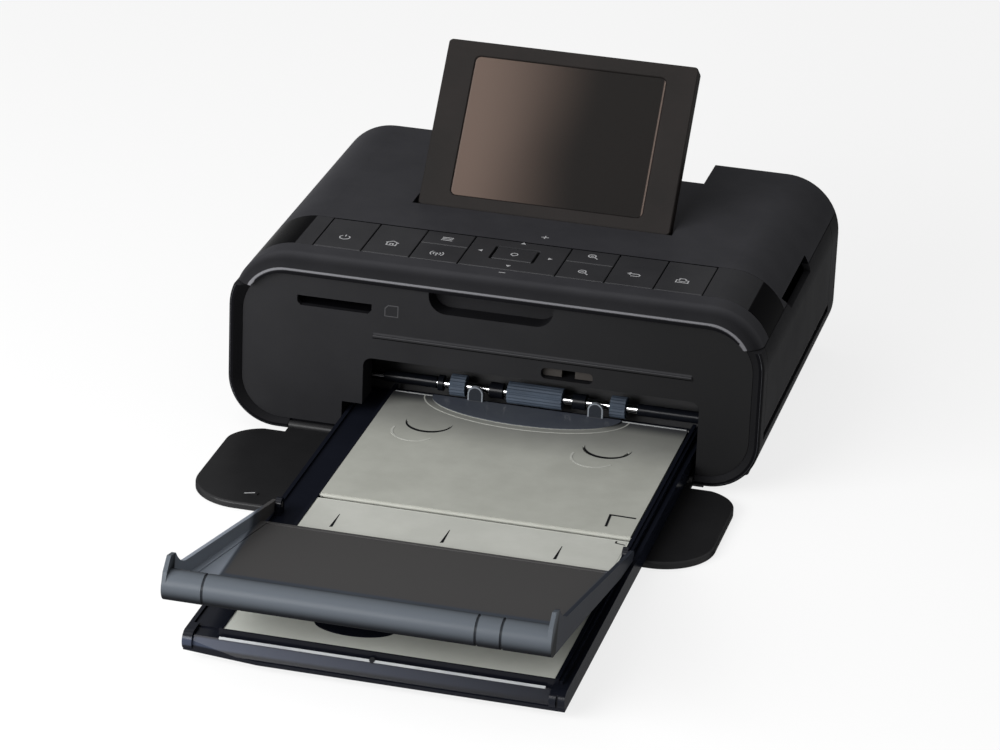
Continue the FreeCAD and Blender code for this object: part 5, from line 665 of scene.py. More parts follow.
@dataclass(frozen=True)
class LipFinish(Finish):
    """Satin shell whose front lip carries a thin painted highlight, with a band of painted shade below it.

    The ranges say how far the surface faces the front there, nought to one.
    """

    # edge is the painted highlight, below the painted shade under it, dim the darker colour painted over the
    # roll.
    edge: str = "626265"
    below: str = "0d0d0f"
    dim: str = "131314"
    dimmed: float = 0.75
    left_shine: float = 0.05
    roll: Range = (0.1, 0.7)
    bright: Range = (0.895, 0.945)
    bright_soft: float = 0.012
    below_soft: float = 0.01

    def lean(self, sketch: Sketch) -> Socket:
        """How far the surface faces the front, nought to one."""
        return sketch.math("MULTIPLY", sketch.leans()[1], -1.0)

    def base(self, sketch: Sketch) -> Socket:
        """Shell colour, painted dimmer over the roll to offset its lit band, then the painted highlight and
        the painted shade below it.
        """
        lean = self.lean(sketch)
        roll = sketch.ramp(lean, *self.roll, 0.0, self.dimmed)
        face = sketch.mix(roll, Finish.base(self, sketch), tint(self.dim))
        under = sketch.between(lean, self.bright[1], PAST_UNIT, self.below_soft, 1.0)
        face = sketch.mix(under, face, tint(self.below))
        return sketch.mix(sketch.between(lean, *self.bright, self.bright_soft, 1.0), face, tint(self.edge))

    def shine(self, sketch: Sketch) -> Socket | float:
        """Little reflection over the roll."""
        keep = sketch.ramp(self.lean(sketch), *self.roll, 1.0, self.left_shine)
        return sketch.math("MULTIPLY", keep, Finish.shine(self, sketch))


@dataclass(frozen=True)
class PanelFinish(Finish):
    """Matte front panel, with painted shade deepening towards its right and a painted highlight on the ridge
    over a groove of painted shade.
    """

    # Colour of the painted shade towards the right.
    deep: str = "101011"
    left: float = -20.0
    right: float = 85.0
    # The next colour paints a highlight on the ridge, and groove paints shade in the crease below it.
    ridge_highlight: str = "2c2c2e"
    groove: str = "030303"
    crease: Range = (-41.3, 66.3)
    ridge: Range = (38.45, 39.75)
    ridge_soft: float = 0.3
    under: Range = (37.65, 38.1)
    under_soft: float = 0.1

    def along(self, sketch: Sketch, heights: Range, soft: float) -> Socket:
        """Mask of a band along the crease.

        Args:
            sketch: The material's tree.
            heights: The band's lower and upper edge.
            soft: How far its edges fade.

        Returns:
            The mask.
        """
        across, _, up = sketch.places()
        return sketch.math("MULTIPLY", sketch.between(across, *self.crease, soft),
                           sketch.between(up, *heights, soft))

    def base(self, sketch: Sketch) -> Socket:
        """Slow drift of painted shade from the panel's colour to the deeper one, under the ridge's painted
        highlight and the groove's painted shade.
        """
        # Painted shade deepening towards the right, a painted highlight on the ridge and painted shade in the
        # groove.
        drift = sketch.ramp(sketch.places()[0], self.left * MM, self.right * MM)
        face = sketch.mix(drift, Finish.base(self, sketch), tint(self.deep))
        face = sketch.mix(self.along(sketch, self.ridge, self.ridge_soft), face, tint(self.ridge_highlight))
        return sketch.mix(self.along(sketch, self.under, self.under_soft), face, tint(self.groove))

    def shine(self, sketch: Sketch) -> Socket | float:
        """No reflection in the groove."""
        keep = sketch.math("SUBTRACT", 1.0, self.along(sketch, self.under, self.under_soft))
        return sketch.math("MULTIPLY", keep, Finish.shine(self, sketch))


@dataclass(frozen=True)
class StripFinish(Finish):
    """Key strip: satin between the keys, gloss black where it wraps down at both ends."""

    end: str = "030304"
    black: str = "000001"
    level: Range = (-72.1, 81.5)
    fold: Range = (-75.2, 90.0)
    soft: float = 0.3
    polish: float = 0.28

    def outside(self, sketch: Sketch, edges: Range) -> Socket:
        """Mask of what lies further out than two places along the strip."""
        return sketch.math("SUBTRACT", 1.0, sketch.between(sketch.places()[0], *edges, self.soft))

    def ends(self, sketch: Sketch) -> Socket:
        """Mask of the two ends."""
        return self.outside(sketch, self.level)

    def folds(self, sketch: Sketch) -> Socket:
        """Mask of the places where the strip folds down."""
        return sketch.math("SUBTRACT", self.ends(sketch), self.outside(sketch, self.fold))

    def base(self, sketch: Sketch) -> Socket:
        """Charcoal in the middle, black at the ends, blackest where the strip folds down."""
        face = sketch.mix(self.ends(sketch), Finish.base(self, sketch), tint(self.end))
        return sketch.mix(self.folds(sketch), face, tint(self.black))

    def shine(self, sketch: Sketch) -> Socket | float:
        """No reflection in the fold."""
        keep = sketch.math("SUBTRACT", 1.0, self.folds(sketch))
        return sketch.math("MULTIPLY", keep, Finish.shine(self, sketch))

    def gloss(self, sketch: Sketch, roughness: Socket) -> Socket:
        """Satin in the middle, gloss at the ends."""
        smoother = sketch.math("MULTIPLY", self.ends(sketch), self.roughness - self.polish)
        return sketch.math("SUBTRACT", roughness, smoother)


@dataclass(frozen=True)
class DarkScreen(Finish):
    """Switched-off screen with a painted reflection, warm and lighter towards its left, and a paler line
    round the glass.
    """

    # Colour of the painted reflection at the left; cloud and sway waver its edge.
    light: str = "5a4d46"
    edge: str = "5c504a"
    left: float = -33.5
    right: float = 33.5
    line: float = 0.5
    line_soft: float = 0.3
    dark_from: float = 0.35
    sway: float = 12.0
    cloud: float = 22.0

    def base(self, sketch: Sketch) -> Socket:
        """Painted reflection: a soft drift from light to dark across the glass."""
        across = sketch.places()[0]
        cloud = sketch.add("ShaderNodeTexNoise",
                           inputs={"Vector": sketch.place(), "Scale": self.cloud, "Detail": 1.0})
        sway = sketch.math("MULTIPLY", sketch.math("SUBTRACT", cloud.outputs[0], 0.5), self.sway * MM)
        swayed = sketch.math("ADD", across, sway)
        share = sketch.ramp(swayed, self.left * MM, self.right * self.dark_from * MM)
        face = sketch.mix(share, tint(self.light), tint(self.colour))
        inner = sketch.between(across, self.left + self.line, self.right - self.line, self.line_soft)
        return sketch.mix(inner, tint(self.edge), face)


FINISHES: dict[Slot, Finish] = {
    Slot.SHELL: Finish("charcoal_satin_shell", "1f1f21", "1b1b1d", 0.42, 0.12, strength=0.3),
    Slot.MATTE: Finish("matte_black_panel", "1a1a1c", "171719", 0.5, 0.15, grain=1800.0, strength=0.35),
    Slot.GLOSS: Finish("gloss_black_trim", "060607", "08080a", 0.2, 0.12, spread=0.04, strength=0.1),
    Slot.KEY: Finish("key_charcoal_cap", "303032", "2c2c2e", 0.36, 0.15, strength=0.2),
    Slot.BEZEL: Finish("bezel_brown_frame", "201d1c", "1c1a19", 0.4, 0.08),
    # The screen's warm left side is a painted reflection.
    Slot.GLASS: DarkScreen("dark_screen_glass", "191716", "161413", 0.3, 0.05, spread=0.02, strength=0.02),
    Slot.SCREEN: Finish("screen_panel", "080707", "0a0909", 0.2, 0.3, spread=0.03),
    Slot.GREY: Finish("grey_panel_plastic", "a0a19a", "989992", 0.4, 0.15, strength=0.2),
    # rim: painted sheen at a glancing angle, here and in the other smoked finishes.
    Slot.NAVY: Smoked("navy_smoke_rail", "0a0b10", "0e0f15", 0.2, 0.12, spread=0.06, strength=0.12,
                      rim="181b24", reach=0.3),
    Slot.LID: LidSmoke("smoke_lid_plastic", "434850", "3f444c", 0.3, 0.05, spread=0.04, strength=0.06,
                       through=0.1),
    Slot.ROLLER: Finish("roller_rubber_blue", "424b57", "3a424d", 0.6, 0.15, grain=3500.0),
    Slot.STEEL: Metal("polished_steel_shaft", "c8c8ca", "a9a9ac", 0.18, 0.5, spread=0.05, strength=0.1),
    Slot.PLATE: Metal("plate_steel_sheet", "9b9c9e", "86878a", 0.38, 0.5),
    Slot.ALUMINIUM: Metal("aluminium_fins", "c5c6c9", "b2b3b6", 0.3, 0.5),
    Slot.GEAR: Finish("gear_white_nylon", "d8d5cb", "cfccc2", 0.4, 0.4),
    Slot.PAPER: Finish("photo_paper_edge", "eeeeea", "e6e6e1", 0.35, 0.3, mottle=400.0),
    Slot.BOARD: Finish("circuit_board_green", "134a2a", "0f3f23", 0.35, 0.4, mottle=500.0),
    Slot.FOOT: Finish("foot_rubber_pad", "141414", "191919", 0.8, 0.2, grain=1500.0, depth=0.00003),
    # rim: painted sheen of the film at a glancing angle.
    Slot.FILM: Smoked("ribbon_film_dye", "5a4a14", "3f3a2a", 0.2, 0.4, rim="8a7a30"),
    Slot.HOUSING: Finish("ribbon_housing_grey", "4b4b4d", "434345", 0.45, 0.3),
    Slot.BUSH: Finish("bush_plastic_pale", "bdbdb8", "b0b0ab", 0.5, 0.3),
}
NODE_FINISHES: dict[str, Finish] = {
    "key_frame": StripFinish("key_strip_wrap", "313133", "2d2d2f", 0.38, 0.06, strength=0.2),
    # The lips' edge colours are painted highlights.
    "top_cover": LipFinish("charcoal_lip_shell", "343437", "303033", 0.42, 0.08, strength=0.3),
    "lower_case": LipFinish("charcoal_lip_case", "212123", "1d1d1f", 0.42, 0.08, strength=0.3, edge="3c3d40"),
    "front_panel": PanelFinish("matte_black_panel_face", "1a1a1c", "171719", 0.5, 0.15, grain=1800.0,
                               strength=0.35),
    "front_cover": Finish("flap_matte", "1d1d1e", "1a1a1b", 0.4, 0.15, strength=0.3),
    "pickup_sleeves": Finish("shaft_sleeve_black", "0b0c10", "0f1116", 0.25, 0.12),
    "inner_cover": CoverFinish("cover_grey_plastic", "a0a19a", "989992", 0.4, 0.15, strength=0.2),
    # rim: painted sheen at a glancing angle; the bar carries a painted sheen too.
    "cassette_tray": TrayFinish("navy_smoke_tray", "0a0b10", "0e0f15", 0.2, 0.12, spread=0.06, strength=0.12,
                                rim="181b24", reach=0.3),
    "front_deck": Finish("deck_grey_plastic", "c2c4bc", "babcb4", 0.4, 0.15, strength=0.2),
    "card_reader": Finish("card_slot_black", "08080a", "0b0b0d", 0.5, 0.02),
    "catch_plate": Finish("catch_tab_brown", "353230", "2f2d2b", 0.45, 0.15),
}
LEGEND = Finish("legend_ink_grey", "a8a8aa", "9e9ea0", 0.5, 0.2)
CARD_INK = Finish("card_mark_ink", "3a3a3c", "353537", 0.5, 0.3)
LENS = ClearSmoke("cover_lens_smoke", "4a4e55", "434750", 0.25, 0.15, spread=0.04, strength=0.05, through=0.1)
# Painted highlight along the paper cover's rear edge.
EDGE_HIGHLIGHT = Finish("pale_edge_highlight", "9a9c9d", "8e9091", 0.3, 0.3)
# Painted highlight along the cassette's front bar.
BAR_HIGHLIGHT = Finish("bar_painted_highlight", "a3a5a6", "8f9194", 0.25, 0.3)
STRIP_GREY = Finish("pale_strip_grey", "aeafa9", "a7a8a2", 0.4, 0.15, strength=0.2)
# Dark of the painted shade in slits, and of small dark marks.
SLIT_SHADE_AND_MARK = Finish("slit_shade_and_mark", "17181a", "101113", 0.5, 0.1)
RAISED_GREY = Finish("raised_grey", "aaaba5", "a3a49e", 0.35, 0.1)


@dataclass(frozen=True)
class SoftBox:
    """Rectangular lamp that faces the printer.

    Its way leads from the camera's aim to the lamp. Its distance along that
    way and its sides are in metres, and a face of radiance 1 is white.
    """

    name: str
    way: Triple
    far: float
    wide: float
    deep: float
    radiance: float

    def build(self, aim: Vector) -> None:
        """Set the lamp up.

        Args:
            aim: The point that it faces.
        """
        lamp = bpy.data.lights.new(self.name, "AREA")
        lamp.shape = "RECTANGLE"
        lamp.size = self.wide
        lamp.size_y = self.deep
        lamp.energy = self.radiance * math.pi * self.wide * self.deep
        box = bpy.data.objects.new(self.name, lamp)
        bpy.context.scene.collection.objects.link(box)
        direction = Vector(self.way).normalized()
        box.location = aim + direction * self.far
        box.rotation_euler = direction.to_track_quat("Z", "Y").to_euler()


@dataclass
class Studio:
    """Floor, world, lamps and camera, in metres and degrees.

    The camera's values were fitted to the body's edges in the photograph, on
    an image of 1000 by 750.
    """

    azimuth: float = 13.513
    elevation: float = 23.263
    roll: float = 2.327
    distance: float = 1.40047
    aim: Triple = (0.002969, BODY_FRONT, 0.031832)
    lens: float = 154.04
    sensor: float = 36.0
    sight: float = 20.0
    ambient: float = 0.32
    floor_tint: str = "f2f2f2"
    floor_glow: float = 0.8
    floor_size: float = 6.0
    lamps: tuple[SoftBox, ...] = (
        SoftBox("front_box", (-0.50, -0.80, 0.38), 0.8, 0.7, 0.35, 13.0),
        SoftBox("key_box", (-0.30, -0.30, 0.90), 1.2, 0.9, 0.4, 2.0),
        SoftBox("top_box", (-0.35, 0.45, 0.85), 1.3, 0.9, 0.7, 0.5),
    )

    def build(self) -> None:
        """Set the whole stage."""
        self.world()
        self.floor()
        for lamp in self.lamps:
            lamp.build(Vector(self.aim))
        self.camera()
        bpy.context.scene.view_settings.view_transform = "Standard"

    def seen(self, sketch: Sketch) -> Socket:
        """Mask of the rays that show the stage itself: the camera's, in gloss and through glass."""
        path = sketch.add("ShaderNodeLightPath").outputs
        straight = sketch.math("MAXIMUM", path["Is Camera Ray"], path["Is Glossy Ray"])
        return sketch.math("MAXIMUM", straight, path["Is Transmission Ray"])

    def world(self) -> None:
        """Plain ambient light, seen as white by the camera, gloss and glass."""
        world = bpy.data.worlds.new("studio_world")
        world.use_nodes = True
        sketch = Sketch(world.node_tree)
        plain = sketch.add("ShaderNodeBackground", inputs={0: WHITE, 1: self.ambient})
        white = sketch.add("ShaderNodeBackground", inputs={0: WHITE, 1: 1.0})
        both = sketch.add("ShaderNodeMixShader", inputs={0: self.seen(sketch), 1: plain.outputs[0],
                                                         2: white.outputs[0]})
        sketch.add("ShaderNodeOutputWorld", inputs={0: both.outputs[0]})
        bpy.context.scene.world = world

    def floor(self) -> None:
        """Pale floor that keeps the printer's shadow."""
        mesh = bpy.data.meshes.new("floor")
        half = self.floor_size / 2
        corners = [(x, y, TABLE) for x, y in rectangle(-half, half, -half, half)]
        mesh.from_pydata(corners, [], [(0, 1, 2, 3)])
        plane = bpy.data.objects.new("floor", mesh)
        bpy.context.scene.collection.objects.link(plane)
        made = bpy.data.materials.new("pale_floor")
        made.use_nodes = True
        sketch = Sketch(made.node_tree)
        matte = sketch.add("ShaderNodeBsdfDiffuse", inputs={0: tint(self.floor_tint)})
        glow = sketch.add("ShaderNodeEmission", inputs={0: WHITE, 1: 1.0})
        share = sketch.math("MULTIPLY", self.seen(sketch), self.floor_glow)
        both = sketch.add("ShaderNodeMixShader", inputs={0: share, 1: matte.outputs[0], 2: glow.outputs[0]})
        sketch.add("ShaderNodeOutputMaterial", inputs={0: both.outputs[0]})
        mesh.materials.append(made)

    def camera(self) -> None:
        """Camera at the photograph's place."""
        turn, rise, lean = (math.radians(angle) for angle in (self.azimuth, self.elevation, self.roll))
        back = Vector((math.sin(turn) * math.cos(rise), -math.cos(turn) * math.cos(rise), math.sin(rise)))
        level = Vector((math.cos(turn), math.sin(turn), 0.0))
        upright = back.cross(level)
        right = level * math.cos(lean) + upright * math.sin(lean)
        up = upright * math.cos(lean) - level * math.sin(lean)
        data = bpy.data.cameras.new("photo_camera")
        data.lens = self.lens
        data.sensor_width = self.sensor
        data.sensor_fit = "HORIZONTAL"
        data.clip_end = self.sight
        camera = bpy.data.objects.new("photo_camera", data)
        bpy.context.scene.collection.objects.link(camera)
        spot = Vector(self.aim) + back * self.distance
        turned = Matrix((right, up, back)).transposed().to_4x4()
        camera.matrix_world = Matrix.Translation(spot) @ turned
        bpy.context.scene.camera = camera


class Piece:
    """A mesh built here, with its finish and the body that carries it.

    A stroke's corners reach out to its width over the mitre limit at most.
    """

    mitre_limit = 0.5

    def __init__(self, name: str, finish: Finish, body: str, slot: Slot) -> None:
        """Open an empty mesh."""
        self.name = name
        self.finish = finish
        self.body = body
        self.slot = slot
        self.mesh = bmesh.new()

    def settle(self) -> bpy.types.Object:
        """Close the mesh and hand it to its body.

        Returns:
            The object.
        """
        bmesh.ops.recalc_face_normals(self.mesh, faces=self.mesh.faces)
        data = bpy.data.meshes.new(self.name)
        self.mesh.to_mesh(data)
        self.mesh.free()
        return self.hand_over(data)

    def hand_over(self, data: bpy.types.Mesh) -> bpy.types.Object:
        """Make the object of a finished mesh.

        Args:
            data: The mesh.

        Returns:
            The object.
        """
        data.materials.clear()
        data.materials.append(self.finish.material())
        piece = bpy.data.objects.new(self.name, data)
        bpy.context.scene.collection.objects.link(piece)
        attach(piece, self.body)
        LOG.info("piece %s: %d faces on %s", self.name, len(data.polygons), self.body)
        return piece

    def prism(self, outline: list[Point], plane: Matrix, low: float, high: float) -> None:
        """Add a flat plate.

        Args:
            outline: Its corners in order, in the plane's own units.
            plane: Where the plane lies.
            low: Lower face off the plane.
            high: Upper face off the plane.
        """
        bottom = [self.mesh.verts.new(plane @ Vector((u, v, low))) for u, v in outline]
        top = [self.mesh.verts.new(plane @ Vector((u, v, high))) for u, v in outline]
        self.mesh.faces.new(top)
        self.mesh.faces.new(list(reversed(bottom)))
        for index, corner in enumerate(bottom):
            after = (index + 1) % len(bottom)
            self.mesh.faces.new((corner, bottom[after], top[after], top[index]))

    def stroke(self, line: list[Point], plane: Matrix, wide: float, high: float,
               closed: bool = False) -> None:
        """Add a raised stroke along a line.

        Args:
            line: Points in the plane's own units.
            plane: Where the plane lies.
            wide: Width of the stroke.
            high: How far it stands off the plane.
            closed: Whether its end joins its start.
        """
        count = len(line)
        rails = []
        for index, (u, v) in enumerate(line):
            before = line[index - 1] if index or closed else line[index]
            after = line[(index + 1) % count] if index < count - 1 or closed else line[index]
            into = Vector((u - before[0], v - before[1]))
            out = Vector((after[0] - u, after[1] - v))
            heading = (into.normalized() + out.normalized()).normalized()
            side = Vector((-heading.y, heading.x))
            bend = math.sqrt(max(0.0, (1 + into.normalized().dot(out.normalized())) / 2))
            reach = wide / 2 / (max(self.mitre_limit, bend) if into.length and out.length else 1.0)
            ring = []
            for sign in (1, -1):
                spot = Vector((u, v)) + side * sign * reach
                for level in (0.0, high):
                    ring.append(self.mesh.verts.new(plane @ Vector((spot.x, spot.y, level))))
            rails.append(ring)
        for index in range(count if closed else count - 1):
            a, b = rails[index], rails[(index + 1) % count]
            for i, j in ((0, 1), (1, 3), (3, 2), (2, 0)):
                self.mesh.faces.new((a[i], b[i], b[j], a[j]))
        if not closed:
            for ring in (rails[0], rails[-1]):
                self.mesh.faces.new((ring[0], ring[1], ring[3], ring[2]))


def arc(centre: Point, radius: float, start: float, end: float, steps: int) -> list[Point]:
    """Points of an arc.

    Args:
        centre: Its middle.
        radius: Its radius.
        start: First angle in degrees.
        end: Last angle in degrees.
        steps: How many parts it has.

    Returns:
        The points, both ends among them.
    """
    turns = [math.radians(start + (end - start) * index / steps) for index in range(steps + 1)]
    return [(centre[0] + radius * math.cos(turn), centre[1] + radius * math.sin(turn)) for turn in turns]


def half_ellipse(span: Range, rear: float, depth: float, steps: int) -> list[Point]:
    """Front half of an ellipse, straight along its rear.

    Args:
        span: Its left and right end.
        rear: Where its straight side lies.
        depth: How far it reaches to the front.
        steps: How many parts its round side has.

    Returns:
        Its corners.
    """
    middle = (span[0] + span[1]) / 2
    half = (span[1] - span[0]) / 2
    turns = [math.pi + math.pi * index / steps for index in range(steps + 1)]
    return [(middle + half * math.cos(turn), rear + depth * math.sin(turn)) for turn in turns]


def rectangle(left: float, right: float, front: float, rear: float) -> list[Point]:
    """Corners of a rectangle in order."""
    return [(left, front), (right, front), (right, rear), (left, rear)]


class KeyMark(Enum):
    """Plain symbols on the keys."""

    POWER = "power"
    HOUSE = "house"
    LIST = "list"
    WAVES = "waves"
    MORE = "more"
    LESS = "less"
    RETURN = "return"
    PAGE = "page"
    DOT = "dot"


@dataclass
class KeyLegends:
    """Marks printed on the keys and beside the pad."""

    line: float = 0.42
    raise_by: float = 0.03
    cross_by: float = 1.05
    sink: float = 0.01
    arrow: float = 1.0
    front_row: float = 23.9
    pad_middle: float = 28.0

    def build(self) -> None:
        """Print every key's mark."""
        plan = {
            "power_key": (KeyMark.POWER, -57.7, self.front_row),
            "home_key": (KeyMark.HOUSE, -41.4, self.front_row),
            "menu_key": (KeyMark.LIST, -25.0, 33.9),
            "wireless_key": (KeyMark.WAVES, -25.0, 20.3),
            "zoom_in_key": (KeyMark.MORE, 24.6, 34.9),
            "zoom_out_key": (KeyMark.LESS, 24.6, 20.5),
            "back_key": (KeyMark.RETURN, 40.9, self.front_row),
            "print_key": (KeyMark.PAGE, 57.2, self.front_row),
            "ok_key": (KeyMark.DOT, -0.5, self.pad_middle),
        }
        for node, (mark, x, y) in plan.items():
            self.print_mark(node, mark, x, y)
        self.pad_arrows()
        self.strip_signs()

    def plane(self, node: str, x: float, y: float) -> Matrix:
        """Plane on a node's top.

        Args:
            node: The node that carries the mark.
            x: Middle of the mark.
            y: Middle of the mark, behind the front face.

        Returns:
            The plane's matrix.
        """
        spot = in_body(x, y, 0)
        spot.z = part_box(node)[1].z - self.sink * MM
        return flat(spot)

    def print_mark(self, node: str, mark: KeyMark, x: float, y: float) -> None:
        """Print one mark.

        Args:
            node: The key.
            mark: Which symbol.
            x: Its middle.
            y: Its middle, behind the front face.
        """
        body = node.replace("_key", "_button")
        piece = Piece(node.replace("_key", "_legend"), LEGEND, body, Slot.KEY)
        plane = self.plane(node, x, y)
        for line, closed in self.lines(mark):
            piece.stroke(line, plane, self.line, self.raise_by, closed)
        piece.settle()

    def lines(self, mark: KeyMark) -> list[tuple[list[Point], bool]]:
        """Strokes of one symbol, round its middle.

        Args:
            mark: Which symbol.

        Returns:
            Each stroke with whether it is closed.
        """
        circle = arc((-0.35, 0.35), 1.25, 0, 345, 23)
        handle = ([(0.6, -0.6), (1.9, -1.9)], False)
        bar = ([(-0.9, 0.35), (0.2, 0.35)], False)
        bend = arc((1.1, -0.25), 0.95, 85, -90, 10)
        drawings = {
            KeyMark.POWER: [(arc((0, 0), 1.7, 125, 415, 22), False), ([(0, 0.7), (0, 2.3)], False)],
            KeyMark.HOUSE: [([(-2.2, 0.5), (0, 2.1), (2.2, 0.5)], False),
                            ([(-1.6, 0.7), (-1.6, -1.7), (1.6, -1.7), (1.6, 0.7)], False),
                            ([(-0.5, -1.7), (-0.5, -0.2), (0.5, -0.2), (0.5, -1.7)], False)],
            KeyMark.LIST: [([(-1.9, height), (1.9, height)], False) for height in (1.2, 0, -1.2)],
            KeyMark.WAVES: [(arc((0, 0), 1.2, -50, 50, 8), False), (arc((0, 0), 2.2, -45, 45, 10), False),
                            (arc((0, 0), 1.2, 130, 230, 8), False), (arc((0, 0), 2.2, 135, 225, 10), False),
                            (arc((0, 0), 0.3, 0, 320, 8), True), ([(0, -0.3), (0, -2.0)], False)],
            KeyMark.MORE: [(circle, True), handle, bar, ([(-0.35, -0.2), (-0.35, 0.9)], False)],
            KeyMark.LESS: [(circle, True), handle, bar],
            KeyMark.RETURN: [([(-2.0, 0.7), (1.1, 0.7)] + bend + [(-0.9, -1.2)], False),
                             ([(-1.1, 1.6), (-2.1, 0.7), (-1.1, -0.2)], False)],
            KeyMark.PAGE: [([(-1.1, 0.2), (-1.1, 1.9), (0.5, 1.9), (1.1, 1.3), (1.1, 0.2)], False),
                           ([(-1.2, 0.5), (-2.0, 0.5), (-2.0, -1.5), (2.0, -1.5), (2.0, 0.5),
                             (1.2, 0.5)], False),
                           ([(-1.1, -0.5), (1.1, -0.5)], False)],
            KeyMark.DOT: [(arc((0, 0), 1.1, 0, 345, 23), True)],
        }
        return drawings[mark]

    def pad_arrows(self) -> None:
        """Four small arrows on the pad."""
        piece = Piece("pad_arrows", LEGEND, Body.PAD.value, Slot.KEY)
        places = ((0.0, 38.4, 90), (0.0, 17.6, 270), (-12.0, self.pad_middle, 180),
                  (11.5, self.pad_middle, 0))
        for x, y, turn in places:
            triangle = arc((0, 0), self.arrow, turn, turn + 240, 2)
            piece.prism(triangle, self.plane("pad_key", x, y), 0.0, self.raise_by)
        piece.settle()

    def strip_signs(self) -> None:
        """Plus behind the pad and minus in front of it."""
        minus = Piece("minus_sign", LEGEND, Body.PRINTER.value, Slot.GLOSS)
        minus.stroke([(-1.1, 0), (1.1, 0)], self.plane("top_cover", -0.4, 11.1), self.line, self.raise_by)
        minus.settle()
        plus = Piece("plus_sign", LEGEND, Body.PRINTER.value, Slot.GLOSS)
        spot = self.plane("top_cover", 5.4, 46.4)
        plus.stroke([(-1.3, 0), (1.3, 0)], spot, self.line, self.raise_by)
        plus.stroke([(0, -1.3), (0, 1.3)], spot, self.line, self.raise_by * self.cross_by)
        plus.settle()


@dataclass
class PickupRollers:
    """Ribbed rubber rollers on the pick-up shaft, swept along their lengths."""

    spans: tuple[Range, ...] = ((-19.7, -14.5), (0.0, 18.8), (35.3, 40.5))
    ribs: int = 18
    depth: float = 0.55
    rib_corners: float = 4.0
    groove_from: float = 1.5

    def build(self) -> None:
        """Sweep a ribbed outline along each roller's length."""
        low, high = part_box("pickup_rollers")
        axis_y = (low.y + high.y) / 2
        axis_z = (low.z + high.z) / 2
        radius = (high.z - low.z) / 2
        lines = bpy.data.meshes.new("roller_lines")
        spots = [(x * MM, axis_y, axis_z) for span in self.spans for x in span]
        lines.from_pydata(spots, [(index, index + 1) for index in range(0, len(spots), 2)], [])
        holder = bpy.data.objects.new("roller_lines", lines)
        bpy.context.scene.collection.objects.link(holder)
        piece = Piece("pickup_rubber", FINISHES[Slot.ROLLER], Body.PICKUP.value, Slot.ROLLER)
        tree = self.tree(piece.finish.material())
        modifier = holder.modifiers.new("ribbed_sweep", "NODES")
        modifier.node_group = tree
        values = {"Radius": radius, "Rib Depth": self.depth * MM, "Rib Count": self.ribs}
        for item in tree.interface.items_tree:
            if item.in_out == "INPUT" and item.name in values:
                modifier[item.identifier] = values[item.name]
        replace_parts(piece.hand_over(harden(holder, piece.name)), "pickup_rollers")

    def tree(self, material: bpy.types.Material) -> bpy.types.NodeTree:
        """Geometry nodes that sweep a ribbed outline along straight lines.

        Args:
            material: The rubber.

        Returns:
            The node tree.
        """
        tree = bpy.data.node_groups.new("Ribbed Sweep", "GeometryNodeTree")
        kinds = {"Geometry": "Geometry", "Radius": "Float", "Rib Depth": "Float", "Rib Count": "Int"}
        for name, kind in kinds.items():
            tree.interface.new_socket(name, in_out="INPUT", socket_type=f"NodeSocket{kind}")
        tree.interface.new_socket("Geometry", in_out="OUTPUT", socket_type="NodeSocketGeometry")
        sketch = Sketch(tree)
        given = sketch.add("NodeGroupInput").outputs
        steps = sketch.math("MULTIPLY", given["Rib Count"], self.rib_corners)
        circle = sketch.add("GeometryNodeCurvePrimitiveCircle", {"mode": "RADIUS"},
                            {"Resolution": steps, "Radius": given["Radius"]})
        index = sketch.add("GeometryNodeInputIndex").outputs[0]
        phase = sketch.math("MODULO", index, self.rib_corners)
        groove = sketch.math("GREATER_THAN", phase, self.groove_from)
        share = sketch.math("DIVIDE", given["Rib Depth"], given["Radius"])
        scale = sketch.math("SUBTRACT", 1.0, sketch.math("MULTIPLY", groove, share))
        spot = sketch.add("GeometryNodeInputPosition").outputs[0]
        pulled = sketch.add("ShaderNodeVectorMath", {"operation": "SCALE"}, {0: spot, "Scale": scale})
        outline = sketch.add("GeometryNodeSetPosition", inputs={"Geometry": circle.outputs[0],
                                                                "Position": pulled.outputs[0]})
        rails = sketch.add("GeometryNodeMeshToCurve", inputs={"Mesh": given["Geometry"]})
        swept = sketch.add("GeometryNodeCurveToMesh", inputs={
            "Curve": rails.outputs[0], "Profile Curve": outline.outputs[0], "Fill Caps": True})
        whole = sketch.add("GeometryNodeRealizeInstances", inputs={0: swept.outputs[0]})
        dressed = sketch.add("GeometryNodeSetMaterial", inputs={"Geometry": whole.outputs[0],
                                                                "Material": material})
        sketch.add("NodeGroupOutput", inputs={0: dressed.outputs[0]})
        return tree


def harden(holder: bpy.types.Object, name: str) -> bpy.types.Mesh:
    """Mesh of an object under its modifiers, in place of the object.

    Args:
        holder: The object, taken away here.
        name: Name of the mesh.

    Returns:
        The mesh.
    """
    bpy.context.view_layer.update()
    shaped = holder.evaluated_get(bpy.context.evaluated_depsgraph_get())
    data = bpy.data.meshes.new_from_object(shaped)
    data.name = name
    holder.modifiers.clear()
    bpy.data.objects.remove(holder)
    return data


